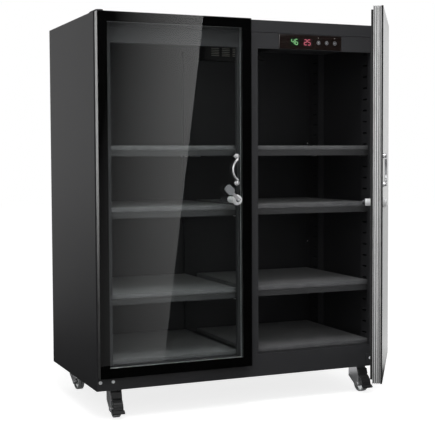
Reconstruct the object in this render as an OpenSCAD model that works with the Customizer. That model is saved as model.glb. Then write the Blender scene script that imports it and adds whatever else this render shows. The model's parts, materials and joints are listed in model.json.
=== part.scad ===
// Dry cabinet for cameras and lenses: a steel case on four castors with two glass doors.
// The origin is on the floor under the middle of the case. The doors are on the -Y side.
// The left door is closed and the right door stands open.

/* [Case] */
// Width of the case
body_w = 900; // [860:1:1000]
// Depth of the case without its doors
body_d = 465; // [440:1:560]
// Height of the case without its castors
body_h = 1018; // [1010:1:1200]
// Thickness of the sheet steel
sheet_t = 1.2; // [0.8:0.1:1.6]
// Width of each front stile
stile_w = 46; // [42:1:52]
// Depth of the returns behind the front frame
return_d = 14; // [10:0.5:14]
// Width of the centre mullion
mullion_w = 65; // [61:1:69]
// Height of the top rail
top_rail_h = 34; // [28:1:36]
// Height of the bottom rail
bottom_rail_h = 64; // [60:1:70]
// Width of the laps behind the back panel
back_lap = 18; // [12:1:24]
// Height of the inner floor above the underside of the case
inner_floor_h = 62; // [50:1:62]

/* [Shelves] */
// Distance between two slots of a shelf strip
slot_pitch = 34; // [32:0.5:36]
// Height of the lowest slot above the underside of the case
first_slot_h = 90; // [86:1:96]
// Number of the slot that carries the low trays, counted from zero
low_slot = 4; // [3:1:6]
// Number of the slot that carries the middle trays
middle_slot = 11; // [9:1:12]
// Number of the slot that carries the top trays
top_slot = 16; // [15:1:18]
// Height of a tray's lips
tray_lip_h = 16.5; // [14:0.5:20]
// Distance from the front of the case to the trays
tray_setback = 34; // [30:1:40]
// Distance from the back of the trays to the back of the case
tray_back_gap = 25; // [22:1:30]
// Thickness of a foam mat
mat_t = 13; // [8:0.5:16]
// Width of a side wall strip
strip_w = 45; // [36:1:50]
// Depth of a side wall strip
strip_d = 20; // [16:0.5:21]

/* [Doors] */
// Distance from the side of the case to the door
door_side_inset = 2; // [1:0.5:3]
// Gap between the two closed doors
door_gap = 4; // [3:0.5:8]
// Distance from the top of the case down to the door
door_top_inset = 1; // [0.8:0.1:2]
// Height of the door's lower edge above the underside of the case
door_lift = 39; // [38:0.5:44]
// Width of a door frame member
frame_w = 25; // [23:0.5:28]
// Depth of a door frame member
frame_d = 21.5; // [20:0.5:24]
// Wall of a door frame member
frame_wall = 2.6; // [2.4:0.1:3]
// Thickness of the door glass
glass_t = 4; // [3:0.5:5]
// Thickness of the door gasket
gasket_t = 6; // [5:0.5:6]
// Width of the door gasket
gasket_w = 12; // [10:0.5:14]
// Distance from the door's edge to its gasket
gasket_inset = 9; // [8:0.5:11]
// Angle at which the right door stands open
open_angle = 55.6; // [0:0.1:100]

/* [Hinges] */
// Distance from the side of the case to a hinge pin
hinge_side = 12; // [11:0.5:14]
// Distance from the front of the case forward to a hinge pin
hinge_front = 16; // [15.5:0.5:17]
// Radius of a hinge pin
hinge_pin_r = 4; // [3:0.1:5]
// Thickness of a hinge bracket
bracket_t = 3; // [2:0.1:3]

/* [Locks and handles] */
// Distance from a door's free edge to its lock and handle
fitting_inset = 46; // [44:0.5:49]
// Distance from the door's middle height down to the lock
lock_drop = 17; // [0:1:60]
// Distance from the lock up to the middle of the handle
handle_rise = 84.5; // [80:0.5:110]
// Distance between the two handle posts
handle_span = 75; // [60:1:110]
// How far the handle's bail reaches sideways
bail_reach = 14; // [12:0.5:20]
// Radius of the lock's outer head
lock_head_r = 15; // [13:0.5:16]
// Radius of the lock barrel
lock_barrel_r = 9.5; // [8.5:0.1:10]
// Length of the lock's cam
cam_length = 30; // [26:0.5:31]

/* [Controls] */
// Height of the control fascia
fascia_h = 45; // [42:0.5:50]
// Seam between the top rail and the fascia
fascia_seam = 1; // [0.5:0.1:1.5]
// Width of the display panel
display_w = 205; // [195:1:220]
// Height of the display panel
display_h = 41; // [36:0.5:41]
// Distance from the middle of the right bay to the middle of the display panel
display_shift = 17.5; // [0:0.5:20]
// Radius of a control key
key_r = 6.5; // [5:0.1:7]
// Travel of a control key
key_travel = 0.8; // [0.4:0.1:1]

/* [Castors] */
// Height of a castor from the floor to the case
castor_h = 81; // [79:1:90]
// Radius of a castor wheel
wheel_r = 25; // [20:0.5:25]
// Width of a castor wheel
wheel_w = 20; // [18:0.5:24]
// Distance from a castor's swivel axis to its axle
castor_trail = 26; // [24:0.5:30]
// Distance from the side of the case to a castor's swivel axis
castor_side = 63; // [50:1:80]
// Distance from the front of the case to a front castor's swivel axis
castor_front = 52; // [40:1:70]
// Distance from the back of the case to a rear castor's swivel axis
castor_back = 31; // [27:1:60]

/* [Hidden] */
$fn = 64;

// Colours
paint = [0.11, 0.11, 0.12];
foam = [0.22, 0.22, 0.23];
alloy = [0.72, 0.72, 0.74];
chrome = [0.85, 0.85, 0.87];
rubber = [0.08, 0.08, 0.08];
plastic = [0.05, 0.05, 0.05];
smoked = [0.10, 0.06, 0.05];
pane = [0.55, 0.60, 0.62, 0.35];
clear_wheel = [0.75, 0.77, 0.78, 0.6];
board_green = [0.05, 0.25, 0.12];
desiccant = [0.85, 0.83, 0.78];

// How far a cut runs past the piece it cuts
over = 1;
// Clearance between pieces of different bodies
gap = 0.3;
// Radial clearance of a pin in its bore
fit = 0.05;

// Planes of the case
half_w = body_w / 2;
front_y = -body_d / 2;
back_y = body_d / 2;
base_z = castor_h;
top_z = castor_h + body_h;
stile_z0 = base_z + bottom_rail_h;
stile_z1 = top_z - top_rail_h;
inside_x = half_w - sheet_t;
inside_y = back_y - sheet_t;
inside_top = top_z - sheet_t;
lap_x = half_w - back_lap;
floor_z = base_z + inner_floor_h;
return_y = front_y + return_d;
fascia_z1 = stile_z1 - fascia_seam;
fascia_z0 = fascia_z1 - fascia_h;
bay_x0 = mullion_w / 2;
bay_x1 = half_w - stile_w;
bay_mid = (bay_x0 + bay_x1) / 2;

// The post behind the mullion
post_w = 26;
post_d = 40;
post_y1 = return_y + post_d;

// The back panel's pressed ribs
rib_w = 60;
rib_depth = 4;
rib_margin = 90;
rib_x_share = 0.27;

// The strips
slot_w_share = 0.5;
slot_h = 5;
strip_front_inset = 50;
strip_rear_inset = 99;
strip_front_y = front_y + strip_front_inset;
strip_rear_y = back_y - strip_rear_inset;
rear_strip_w = 31;
rear_strip_d = 9;
strip_z0 = floor_z;
strip_rise = 30;
strip_z1 = fascia_z0 + strip_rise;
slot_count = floor((strip_z1 - base_z - first_slot_h - slot_h) / slot_pitch) + 1;
slots_z = [for (i = [0 : slot_count - 1]) base_z + first_slot_h + i * slot_pitch];

// The trays, clips and mats
tray_gap = 2.8;
tray_x0 = post_w / 2 + 5;
tray_x1 = half_w - sheet_t - strip_d - tray_gap;
tray_y0 = front_y + tray_setback;
tray_y1 = back_y - tray_back_gap;
levels = [top_slot, middle_slot, low_slot];
function lip_z(level) = base_z + first_slot_h + levels[level] * slot_pitch;
function deck_z(level) = lip_z(level) + tray_lip_h;
clip_t = 2.5;
clip_w = 14;
clip_grip = 10;
clip_tail = 4;
clip_rise = 1;
rear_clip_w = 64;
rear_clip_stem_w = 12;
mat_margin = 1;
mat_base_t = 1.6;
mat_base_inset = 2.5;

// The control fascia and what is behind it
display_x = bay_mid - display_shift;
display_z = (fascia_z0 + fascia_z1) / 2;
display_proud = 1.5;
display_t = 3;
display_fit = 0.2;
window_w = 28;
window_h = 22;
window_fit = 0.2;
humidity_share = -0.249;
temperature_share = -0.049;
digit_recess = 0.3;
first_key_share = 0.129;
key_pitch_share = 0.1317;
key_proud = 0.7;
key_fit = 0.15;
key_flange = 1.2;
key_flange_t = 1;
board_y = front_y + 9;
board_t = 1.6;
board_margin = 6;
board_h = 38;
standoff_r = 2.5;
switch_r = 3;
switch_gap = 0.4;
chip_w = 18;
chip_h = 12;
chip_t = 2;
box_margin = 8;
box_d = 120;
box_h = 62;
box_wall = 1.2;
sensor_w = 18;
sensor_d = 8;
sensor_h = 12;
sensor_slot_w = 1.4;
sensor_slots = 4;

// The drying unit, from its left side
unit_x0 = 42;
unit_d = 48;
unit_wall = 2;
unit_z0 = fascia_z0 + 3;
unit_h = top_z - back_lap - gap - unit_z0;
unit_louvres = 6;
louvre_w = 14;
louvre_h = 2.4;
louvre_pitch = 5.6;
louvre_shares = [0.25, 0.5, 0.75];
core_d = 22;
core_gap = 1;
heater_t = 2.5;
shutter_w = 62;
shutter_h = unit_h - 15;
shutter_t = 1.5;
shutter_travel = 40;
unit_w = shutter_w + 2 * (shutter_travel + 2 * unit_wall);
shutter_back = 2;
rail_h = 3;
rail_t = 1.5;
vent_w = 54;
vent_h = shutter_h - 10;
vent_bars = 4;
vent_bar_h = 3.2;
cover_margin = 6;
cover_proud = 2.5;
vent_x = unit_x0 + unit_w / 2;
vent_z = unit_z0 + unit_h / 2;

// The power inlet
inlet_x = 260;
inlet_z = fascia_z0 + 20;
inlet_w = 30;
inlet_h = 22;
inlet_bezel = 2;
inlet_body_w = 24;
inlet_body_h = 16;
inlet_depth = 18;
inlet_hole_w = 16;
inlet_hole_h = 8;
inlet_hole_d = 12;

// Screws
screw_head_r = 4.8;
screw_head_h = 2.2;
screw_shank_r = 2.4;
screw_shank_l = 5;
screw_top_share = 0.65;
panel_screws_x = 5;
panel_screws_z = 4;
panel_screw_inset = 9;

// Planes of a closed door
door_x0 = door_gap / 2;
door_x1 = half_w - door_side_inset;
door_z0 = base_z + door_lift;
door_z1 = top_z - door_top_inset;
gasket_gap = 0.5;
frame_back_y = front_y - gasket_gap - gasket_t;
frame_front_y = frame_back_y - frame_d;
glass_front_y = frame_front_y - glass_t;
mitre_gap = 0.15;
groove_w = 2;
groove_d = 1.4;
groove_shares = [0.14, 0.32, 0.59, 0.85];
gasket_groove = 2;
pivot_x = half_w - hinge_side;
pivot_y = front_y - hinge_front;

// Hinges
bush_r = 7;
bush_l = 14;
bush_flange_r = 8.5;
bush_flange_t = 0.6;
bush_fit = 0.05;
pin_reach = 13;
bracket_w = 21;
bracket_back = 40;
bracket_nose = 10;
lower_plate_w = 58;
lower_plate_drop = 30;
lower_plate_t = 2.5;
lower_screw_shares = [0.13, 0.75];
lower_screw_drop = 14;
top_screw_shares = [0.3, 0.75];
bracket_z1 = door_z0 - bush_fit - bush_flange_t - gap;

// Lock, handle and key
fitting_x = door_x0 + fitting_inset;
lock_z = (door_z0 + door_z1) / 2 - lock_drop;
handle_z = lock_z + handle_rise;
lock_head_h = 5;
lock_boss_h = 3;
lock_boss_r = 11.5;
lock_nut_r = 13;
lock_nut_sides = 6;
lock_nut_t = 5;
cam_t = 2.5;
cam_gap = 0.6;
cam_w = 15;
cam_r = 10.3;
cam_y0 = return_y + 1.5;
cam_tip_r = cam_w / 2;
barrel_end_y = cam_y0 - cam_gap;
plug_r = 6;
plug_nut_r = 5.5;
plug_nut_t = 4;
keyway_w = 2.4;
keyway_h = 8;
key_clear = 0.1;
blade_l = 20;
neck_l = 7;
neck_r = 3.6;
knuckle_r = 3;
knuckle_w = 3.2;
key_head_w = 22;
key_head_l = 27;
key_head_t = 6;
key_head_corner = 7;
key_link_w = 9;
key_link_l = 24;
key_link_t = 3;
key_link_grip = 3;
key_head_angle = 45;
ear_gap = 0.3;
ear_pin_r = 1.2;
hole_fit = 0.2;
post_r = 5.5;
post_l = 9;
post_base_r = 7;
post_base_t = 1.6;
post_screw_r = 2.4;
post_nut_r = 6;
post_nut_t = 3;
bail_r = 3;
bail_ball_r = 3.4;
bail_pin_r = 2;
bail_pin_l = 4;
bail_offset = 6;
bail_shoulder = 0.4;
bail_chord = handle_span - 2 * (post_r + bail_shoulder + bail_ball_r);
bail_arc_r = (bail_chord * bail_chord / 4 + bail_reach * bail_reach) / (2 * bail_reach);
bail_half_angle = asin(bail_chord / 2 / bail_arc_r);

// Castors: the angle that each one has turned to, and its place
stem_r = 5;
stem_plate_r = 19;
stem_plate_t = 3;
stem_rise = 18;
stem_rivet_r = 8;
stem_rivet_t = 2;
stem_nut_r = 9;
stem_nut_t = 6;
swivel_r = 13;
swivel_t = 7;
leg_t = 2;
leg_gap = 4.5;
leg_tip_r = 9.5;
fork_y = wheel_w / 2 + leg_gap;
crown_front = 15;
crown_back = 24;
web_z = 42;
swivel_z1 = castor_h - stem_plate_t - gap;
swivel_z0 = swivel_z1 - swivel_t;
axle_r = 4;
axle_head_r = 6;
axle_head_t = 2;
tread_groove_w = 3;
tread_groove_d = 5;
tread_round = 3;
wheel_dish_r = 15;
wheel_dish_d = 2;
// The brake pedal turns on a pin above the wheel
pedal_pivot_r = 2;
pedal_boss_r = 5;
pedal_boss_gap = 2.5;
pedal_pivot_z = 2 * wheel_r + pedal_boss_r + pedal_boss_gap;
pedal_clear = 0.6;
pedal_t = 4.5;
pedal_w = 2 * (fork_y - gap);
pedal_end = -4;
pedal_top_h = 13;
pedal_top_front = 3;
pedal_top_back = 10;
pedal_toe_l = 11;
pedal_toe_t = 4;
pedal_toe_w = 34;
pedal_toe_tilt = 35;
pedal_ribs = 7;
pedal_rib_r = 1.1;
castor_front_y = front_y + castor_front;
castor_back_y = back_y - castor_back;
castor_x = half_w - castor_side;
function castor_at(name) =
    name == "fl" ? [-castor_x, castor_front_y, -4] :
    name == "fr" ? [castor_x, castor_front_y, 5] :
    name == "bl" ? [-castor_x, castor_back_y, 3] :
    [castor_x, castor_back_y, -8];

// Block between two corners
module block(x0, x1, y0, y1, z0, z1) {
    translate([x0, y0, z0])
        cube([x1 - x0, y1 - y0, z1 - z0]);
}

// Cylinder along Y from y0 to y1
module rod_y(r, x, y0, y1, z) {
    translate([x, y0, z])
        rotate([-90, 0, 0])
            cylinder(r = r, h = y1 - y0);
}

// Cylinder along Z from z0 to z1
module rod_z(r, x, y, z0, z1) {
    translate([x, y, z0])
        cylinder(r = r, h = z1 - z0);
}

// Cylinder along X from x0 to x1
module rod_x(r, x0, x1, y, z) {
    translate([x0, y, z])
        rotate([0, 90, 0])
            cylinder(r = r, h = x1 - x0);
}

// Draws its children, made for the right side, on the side given as -1 or 1
module on_side(side) {
    if (side < 0)
        mirror([1, 0, 0])
            children();
    else
        children();
}

// Turns its children, made for a closed right door, to where the right door stands
module as_opened() {
    translate([pivot_x, pivot_y, 0])
        rotate([0, 0, open_angle])
            translate([-pivot_x, -pivot_y, 0])
                children();
}

// Puts its children, made for the right side, on the left closed door or on the right open door
module on_door(side) {
    if (side < 0)
        mirror([1, 0, 0])
            children();
    else
        as_opened()
            children();
}

// Side panel with its front stile, the stile's return and the lap behind the back panel
module side_panel(side) {
    color(paint)
        difference() {
            on_side(side)
                union() {
                    block(inside_x, half_w, front_y + sheet_t, inside_y, base_z, inside_top);
                    block(bay_x1, half_w, front_y, front_y + sheet_t, stile_z0, stile_z1);
                    block(bay_x1, bay_x1 + sheet_t, front_y, return_y, stile_z0, stile_z1);
                    block(lap_x, half_w, inside_y - sheet_t, inside_y, base_z, inside_top);
                }
            panel_screw_holes();
        }
}

module side_panel_left() {
    side_panel(-1);
}

module side_panel_right() {
    side_panel(1);
}

// Top sheet with the front rail folded down from it, the rail's return and the lap for the back panel
module top_panel() {
    color(paint)
        difference() {
            union() {
                block(-half_w, half_w, front_y, back_y, inside_top, top_z);
                block(-half_w, half_w, front_y, front_y + sheet_t, stile_z1, top_z);
                block(-inside_x, inside_x, front_y, return_y, stile_z1, stile_z1 + sheet_t);
                block(-lap_x, lap_x, inside_y - sheet_t, inside_y, top_z - back_lap, top_z);
            }
            panel_screw_holes();
            top_screw_places()
                screw_hole();
        }
}

// Back sheet with two pressed ribs and the opening for the vent and the inlet
module back_panel() {
    rib_z0 = base_z + rib_margin;
    rib_z1 = unit_z0 - rib_margin / 2;
    color(paint)
        difference() {
            union() {
                block(-half_w, half_w, inside_y, back_y, base_z, inside_top);
                for (x = [-rib_x_share, rib_x_share] * body_w)
                    block(x - rib_w / 2, x + rib_w / 2, inside_y - rib_depth, inside_y + sheet_t / 2,
                          rib_z0, rib_z1);
            }
            for (x = [-rib_x_share, rib_x_share] * body_w)
                block(x - rib_w / 2 + sheet_t, x + rib_w / 2 - sheet_t, inside_y - rib_depth + sheet_t,
                      back_y + over, rib_z0 + sheet_t, rib_z1 - sheet_t);
            block(vent_x - vent_w / 2, vent_x + vent_w / 2, inside_y - over, back_y + over,
                  vent_z - vent_h / 2, vent_z + vent_h / 2);
            block(inlet_x - inlet_body_w / 2, inlet_x + inlet_body_w / 2, inside_y - over, back_y + over,
                  inlet_z - inlet_body_h / 2, inlet_z + inlet_body_h / 2);
            panel_screw_holes();
        }
}

// Hole along Y for a screw's shank
module screw_hole() {
    rod_y(screw_shank_r + fit, 0, -screw_shank_l, screw_shank_l, 0);
}

module panel_screw_holes() {
    panel_screw_places()
        translate([0, back_y, 0])
            screw_hole();
}

// Places of the screws that hold a lower hinge bracket
module lower_screw_places() {
    for (side = [-1, 1])
        for (share = lower_screw_shares)
            translate([side * (door_x1 - lower_plate_w * share), front_y, bracket_z1 - lower_screw_drop])
                children();
}

// Places of the screws that hold a top hinge bracket, turned so that they point down
module top_screw_places() {
    for (side = [-1, 1])
        for (share = top_screw_shares)
            translate([side * pivot_x, front_y + bracket_back * share, top_z])
                rotate([-90, 0, 0])
                    children();
}

// Places along the edge of the back panel
module panel_screw_places() {
    span_x = body_w - 2 * panel_screw_inset;
    span_z = body_h - 2 * panel_screw_inset;
    for (i = [0 : panel_screws_x - 1])
        for (z = [base_z + panel_screw_inset, top_z - panel_screw_inset])
            translate([-span_x / 2 + span_x * i / (panel_screws_x - 1), 0, z])
                children();
    for (i = [1 : panel_screws_z - 2])
        for (x = [-span_x / 2, span_x / 2])
            translate([x, 0, base_z + panel_screw_inset + span_z * i / (panel_screws_z - 1)])
                children();
}

// Underside sheet with the front rail, its return, and low upstands at the sides and back
module base_pan() {
    color(paint)
        difference() {
            union() {
                block(-inside_x, inside_x, front_y, inside_y - sheet_t, base_z, base_z + sheet_t);
                block(-lap_x, lap_x, front_y, inside_y, base_z, base_z + sheet_t);
                block(-lap_x, lap_x, inside_y - sheet_t, inside_y, base_z, base_z + back_lap);
                block(-half_w, half_w, front_y, front_y + sheet_t, base_z, stile_z0);
                block(-inside_x, inside_x, front_y, return_y, stile_z0 - sheet_t, stile_z0);
                for (x = [-inside_x, inside_x - sheet_t])
                    block(x, x + sheet_t, front_y, inside_y - sheet_t, base_z, base_z + back_lap);
            }
            panel_screw_holes();
            lower_screw_places()
                screw_hole();
            for (name = ["fl", "fr", "bl", "br"])
                rod_z(stem_r + fit, castor_at(name)[0], castor_at(name)[1], base_z - over, base_z + sheet_t + over);
        }
}

// Inner floor with its legs, which stand on the base pan
module inner_floor() {
    leg_x = inside_x - 2 * sheet_t - gap;
    y0 = return_y + gap;
    y1 = inside_y - rib_depth - gap;
    color(paint)
        union() {
            block(-leg_x, leg_x, y0, y1, floor_z - sheet_t, floor_z);
            for (x = [-leg_x, leg_x - sheet_t])
                block(x, x + sheet_t, y0, y1, base_z + sheet_t, floor_z);
            for (y = [y0, y1 - sheet_t])
                block(-leg_x, leg_x, y, y + sheet_t, base_z + sheet_t, floor_z);
        }
}

// Front mullion between the doors, with the slotted post behind it
module centre_mullion() {
    color(paint)
        difference() {
            union() {
                block(-bay_x0, bay_x0, front_y, front_y + sheet_t, stile_z0, fascia_z0);
                for (x = [-bay_x0, bay_x0 - sheet_t])
                    block(x, x + sheet_t, front_y, return_y, stile_z0, fascia_z0);
                for (x = [-post_w / 2, post_w / 2 - sheet_t])
                    block(x, x + sheet_t, front_y, post_y1, stile_z0, fascia_z0);
                block(-post_w / 2, post_w / 2, post_y1 - sheet_t, post_y1, floor_z, fascia_z0);
                for (x = [-post_w / 2, post_w / 2 - sheet_t])
                    block(x, x + sheet_t, return_y + gap, post_y1, floor_z, fascia_z0);
            }
            for (z = slots_z)
                if (z + slot_h < fascia_z0)
                    block(-post_w / 2 - over, post_w / 2 + over, return_y + post_d * (1 - slot_w_share) / 2,
                          return_y + post_d * (1 + slot_w_share) / 2, z - clip_t, z - clip_t + slot_h);
        }
}

// Channel on a side wall, open to the wall, with a row of slots in its face
module side_strip(y0) {
    x0 = inside_x - strip_d;
    difference() {
        block(x0, inside_x, y0, y0 + strip_w, strip_z0, strip_z1);
        block(x0 + sheet_t, inside_x + over, y0 + sheet_t, y0 + strip_w - sheet_t, strip_z0 - over,
              strip_z1 + over);
        for (z = slots_z)
            block(x0 - over, x0 + sheet_t + over, y0 + strip_w * (1 - slot_w_share) / 2,
                  y0 + strip_w * (1 + slot_w_share) / 2, z - clip_t, z - clip_t + slot_h);
    }
}

// Channel on the middle of the back panel
module rear_strip() {
    y0 = inside_y - rear_strip_d;
    x1 = rear_strip_w / 2;
    difference() {
        block(-x1, x1, y0, inside_y, strip_z0, strip_z1);
        block(-x1 + sheet_t, x1 - sheet_t, y0 + sheet_t, inside_y + over, strip_z0 - over, strip_z1 + over);
        for (z = slots_z)
            block(-x1 * slot_w_share, x1 * slot_w_share, y0 - over, y0 + sheet_t + over,
                  z - clip_t, z - clip_t + slot_h);
    }
}

module shelf_strips() {
    color(paint)
        union() {
            for (side = [-1, 1])
                on_side(side) {
                    side_strip(strip_front_y);
                    side_strip(strip_rear_y);
                }
            rear_strip();
        }
}

// Clip in a side wall strip, under the outer lip of a tray
module side_clip(y0, z) {
    x0 = tray_x1 - clip_grip;
    x1 = inside_x - strip_d + sheet_t + clip_tail;
    y = y0 + strip_w / 2;
    block(x0, x1, y - clip_w / 2, y + clip_w / 2, z - clip_t, z);
    block(inside_x - strip_d + sheet_t, x1, y - clip_w / 2, y + clip_w / 2, z - clip_t, z + clip_rise);
}

// Clip in the post behind the mullion, under the inner lip of a tray
module post_clip(z) {
    x0 = post_w / 2 - sheet_t - clip_tail;
    y = return_y + post_d / 2;
    block(x0, tray_x0 + clip_grip, y - clip_w / 2, y + clip_w / 2, z - clip_t, z);
}

// Clip in the rear strip, under the back corners of two trays
module rear_clip(z) {
    stem = rear_clip_stem_w / 2;
    y = tray_y1 - clip_grip;
    block(-rear_clip_w / 2, rear_clip_w / 2, y, tray_y1, z - clip_t, z);
    block(-stem, stem, y, inside_y - rear_strip_d + sheet_t + clip_tail, z - clip_t, z);
}

module shelf_clips() {
    color(chrome)
        for (level = [0 : len(levels) - 1]) {
            for (side = [-1, 1])
                on_side(side) {
                    side_clip(strip_front_y, lip_z(level));
                    side_clip(strip_rear_y, lip_z(level));
                    post_clip(lip_z(level));
                }
            rear_clip(lip_z(level));
        }
}

// Tray of folded sheet, open below
module tray(side, level) {
    z0 = lip_z(level);
    z1 = deck_z(level);
    color(paint)
        on_side(side)
            difference() {
                block(tray_x0, tray_x1, tray_y0, tray_y1, z0, z1);
                block(tray_x0 + sheet_t, tray_x1 - sheet_t, tray_y0 + sheet_t, tray_y1 - sheet_t,
                      z0 - over, z1 - sheet_t);
            }
}

module tray_left_top() {
    tray(-1, 0);
}

module tray_left_middle() {
    tray(-1, 1);
}

module tray_left_low() {
    tray(-1, 2);
}

module tray_right_top() {
    tray(1, 0);
}

module tray_right_middle() {
    tray(1, 1);
}

module tray_right_low() {
    tray(1, 2);
}

// Foam mat on a thinner backing layer that is set in from its edges
module mat(z) {
    x0 = tray_x0 + mat_margin;
    x1 = tray_x1 - mat_margin;
    y0 = tray_y0 + mat_margin / 2;
    y1 = tray_y1 - mat_margin;
    block(x0 + mat_base_inset, x1 - mat_base_inset, y0 + mat_base_inset, y1 - mat_base_inset,
          z, z + mat_base_t);
    block(x0, x1, y0, y1, z + mat_base_t, z + mat_t);
}

// Mat on the inner floor, notched for the post behind the mullion
module floor_mat() {
    notch = gap + mat_base_inset;
    difference() {
        mat(floor_z);
        block(0, post_w / 2 + notch, tray_y0 - over, post_y1 + notch, floor_z - over, floor_z + mat_t + over);
    }
}

module foam_mats() {
    color(foam)
        for (side = [-1, 1])
            on_side(side) {
                for (level = [0 : len(levels) - 1])
                    mat(deck_z(level));
                floor_mat();
            }
}

// Front panel under the top rail, with the window for the display panel
module control_fascia() {
    color(paint)
        difference() {
            union() {
                block(-bay_x1, bay_x1, front_y, front_y + sheet_t, fascia_z0, fascia_z1);
                block(-bay_x1, bay_x1, front_y, return_y, fascia_z0, fascia_z0 + sheet_t);
            }
            block(display_x - display_w / 2 - display_fit, display_x + display_w / 2 + display_fit,
                  front_y - over, front_y + sheet_t + over,
                  display_z - display_h / 2 - display_fit, display_z + display_h / 2 + display_fit);
        }
}

// Cover around the control board, closed by the fascia and the top rail at the front
module control_box() {
    x0 = display_x - display_w / 2 - box_margin;
    x1 = display_x + display_w / 2 + box_margin;
    y0 = front_y - display_proud + display_t + gap;
    y1 = front_y + box_d;
    z0 = fascia_z0 + sheet_t;
    z1 = fascia_z0 + box_h;
    color(paint)
        difference() {
            union() {
                block(x0, x1, y0, y1, z0, stile_z1);
                block(x0, x1, return_y, y1, z0, z1);
            }
            block(x0 + box_wall, x1 - box_wall, y0 - over, y1 - box_wall, z0 + box_wall, z1 - box_wall);
        }
}

// Places of the three keys from left to right on the display panel
function key_x(i) = display_x + display_w * (first_key_share + i * key_pitch_share);

// Dark front panel with windows for the two displays and holes for the keys
module display_panel() {
    y0 = front_y - display_proud;
    color(smoked)
        difference() {
            block(display_x - display_w / 2, display_x + display_w / 2, y0, y0 + display_t,
                  display_z - display_h / 2, display_z + display_h / 2);
            for (share = [humidity_share, temperature_share])
                translate([display_x + display_w * share, y0, display_z])
                    block(-window_w / 2, window_w / 2, -over, display_t + over, -window_h / 2, window_h / 2);
            for (i = [0 : 2])
                rod_y(key_r + key_fit, key_x(i), y0 - over, y0 + display_t + over, display_z);
        }
}

// Two-digit display module, standing on the control board
module digit_module(share) {
    x = display_x + display_w * share;
    block(x - window_w / 2 + window_fit, x + window_w / 2 - window_fit,
          front_y - display_proud + digit_recess, board_y,
          display_z - window_h / 2 + window_fit, display_z + window_h / 2 - window_fit);
}

module humidity_display() {
    color([0.15, 0.8, 0.3])
        digit_module(humidity_share);
}

module temperature_display() {
    color([0.85, 0.2, 0.25])
        digit_module(temperature_share);
}

// Board with the key switches, a chip, and standoffs to the fascia
module control_board() {
    half = display_w / 2 + board_margin;
    color(board_green)
        union() {
            block(display_x - half, display_x + half, board_y, board_y + board_t,
                  display_z - board_h / 2, display_z + board_h / 2);
            for (i = [0 : 2])
                rod_y(switch_r, key_x(i), switch_y(), board_y, display_z);
            for (x = [display_x - half + standoff_r, display_x + half - standoff_r])
                for (z = [display_z - board_h / 2 + standoff_r, display_z + board_h / 2 - standoff_r])
                    rod_y(standoff_r, x, front_y + sheet_t, board_y, z);
            block(display_x - chip_w / 2, display_x + chip_w / 2, board_y + board_t / 2,
                  board_y + board_t + chip_t, display_z - chip_h / 2, display_z + chip_h / 2);
        }
}

// Plane of a key's back, and of the switch behind it
function key_back_y() = front_y - display_proud + display_t + gap + key_flange_t;
function switch_y() = key_back_y() + key_travel + switch_gap;

// Round key with a flange behind the display panel
module control_key(i) {
    color(plastic)
        union() {
            rod_y(key_r, key_x(i), front_y - display_proud - key_proud, key_back_y(), display_z);
            rod_y(key_r + key_flange, key_x(i), key_back_y() - key_flange_t, key_back_y(), display_z);
        }
}

module mode_key() {
    control_key(0);
}

module up_key() {
    control_key(1);
}

module down_key() {
    control_key(2);
}

// Sensor on the back of the control box
module humidity_sensor() {
    y0 = front_y + box_d;
    z0 = display_z - sensor_h / 2;
    color(plastic)
        difference() {
            block(display_x - sensor_w / 2, display_x + sensor_w / 2, y0, y0 + sensor_d, z0, z0 + sensor_h);
            for (i = [0 : sensor_slots - 1])
                block(display_x - sensor_w / 2 + sensor_w * (i + 0.5) / sensor_slots - sensor_slot_w / 2,
                      display_x - sensor_w / 2 + sensor_w * (i + 0.5) / sensor_slots + sensor_slot_w / 2,
                      y0 + sensor_d / 2, y0 + sensor_d + over, z0 + sensor_h / 4, z0 + sensor_h + over);
        }
}

// Case of the drying unit, open to the back panel, with louvres and the shutter's rails
module drying_unit_case() {
    x1 = unit_x0 + unit_w;
    y0 = inside_y - unit_d;
    z1 = unit_z0 + unit_h;
    louvre_z = unit_z0 + (unit_h - (unit_louvres - 1) * louvre_pitch) / 2;
    rail_y = shutter_y() - gap - rail_t;
    color(plastic)
        difference() {
            union() {
                difference() {
                    block(unit_x0, x1, y0, inside_y, unit_z0, z1);
                    block(unit_x0 + unit_wall, x1 - unit_wall, y0 + unit_wall, inside_y + over,
                          unit_z0 + unit_wall, z1 - unit_wall);
                }
                block(unit_x0, x1, rail_y, inside_y, unit_z0, vent_z - shutter_h / 2 - gap);
                block(unit_x0, x1, rail_y, inside_y, vent_z + shutter_h / 2 + gap, z1);
                block(unit_x0, x1, rail_y, rail_y + rail_t, unit_z0, vent_z - shutter_h / 2 + rail_h);
                block(unit_x0, x1, rail_y, rail_y + rail_t, vent_z + shutter_h / 2 - rail_h, z1);
            }
            for (i = [0 : unit_louvres - 1])
                for (share = louvre_shares)
                    translate([unit_x0 + unit_w * share, y0, louvre_z + i * louvre_pitch])
                        block(-louvre_w, louvre_w, -over, unit_wall + over, -louvre_h / 2, louvre_h / 2);
        }
}

// Desiccant pack and the heater plate behind it
module drying_unit_core() {
    x0 = unit_x0 + unit_wall + core_gap;
    x1 = unit_x0 + unit_w - unit_wall - core_gap;
    y0 = inside_y - unit_d + unit_wall + core_gap;
    z0 = unit_z0 + unit_wall;
    z1 = unit_z0 + unit_h - unit_wall - core_gap;
    color(desiccant)
        union() {
            block(x0, x1, y0, y0 + core_d, z0, z1);
            block(x0 + core_gap, x1 - core_gap, y0 + core_d + gap, y0 + core_d + gap + heater_t,
                  z0, z1 - core_gap);
        }
}

// Front plane of the shutter
function shutter_y() = inside_y - shutter_back - shutter_t;

// Sliding shutter between the rails and the back panel
module drying_unit_shutter() {
    color(alloy)
        block(vent_x - shutter_w / 2, vent_x + shutter_w / 2, shutter_y(), shutter_y() + shutter_t,
              vent_z - shutter_h / 2, vent_z + shutter_h / 2);
}

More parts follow.
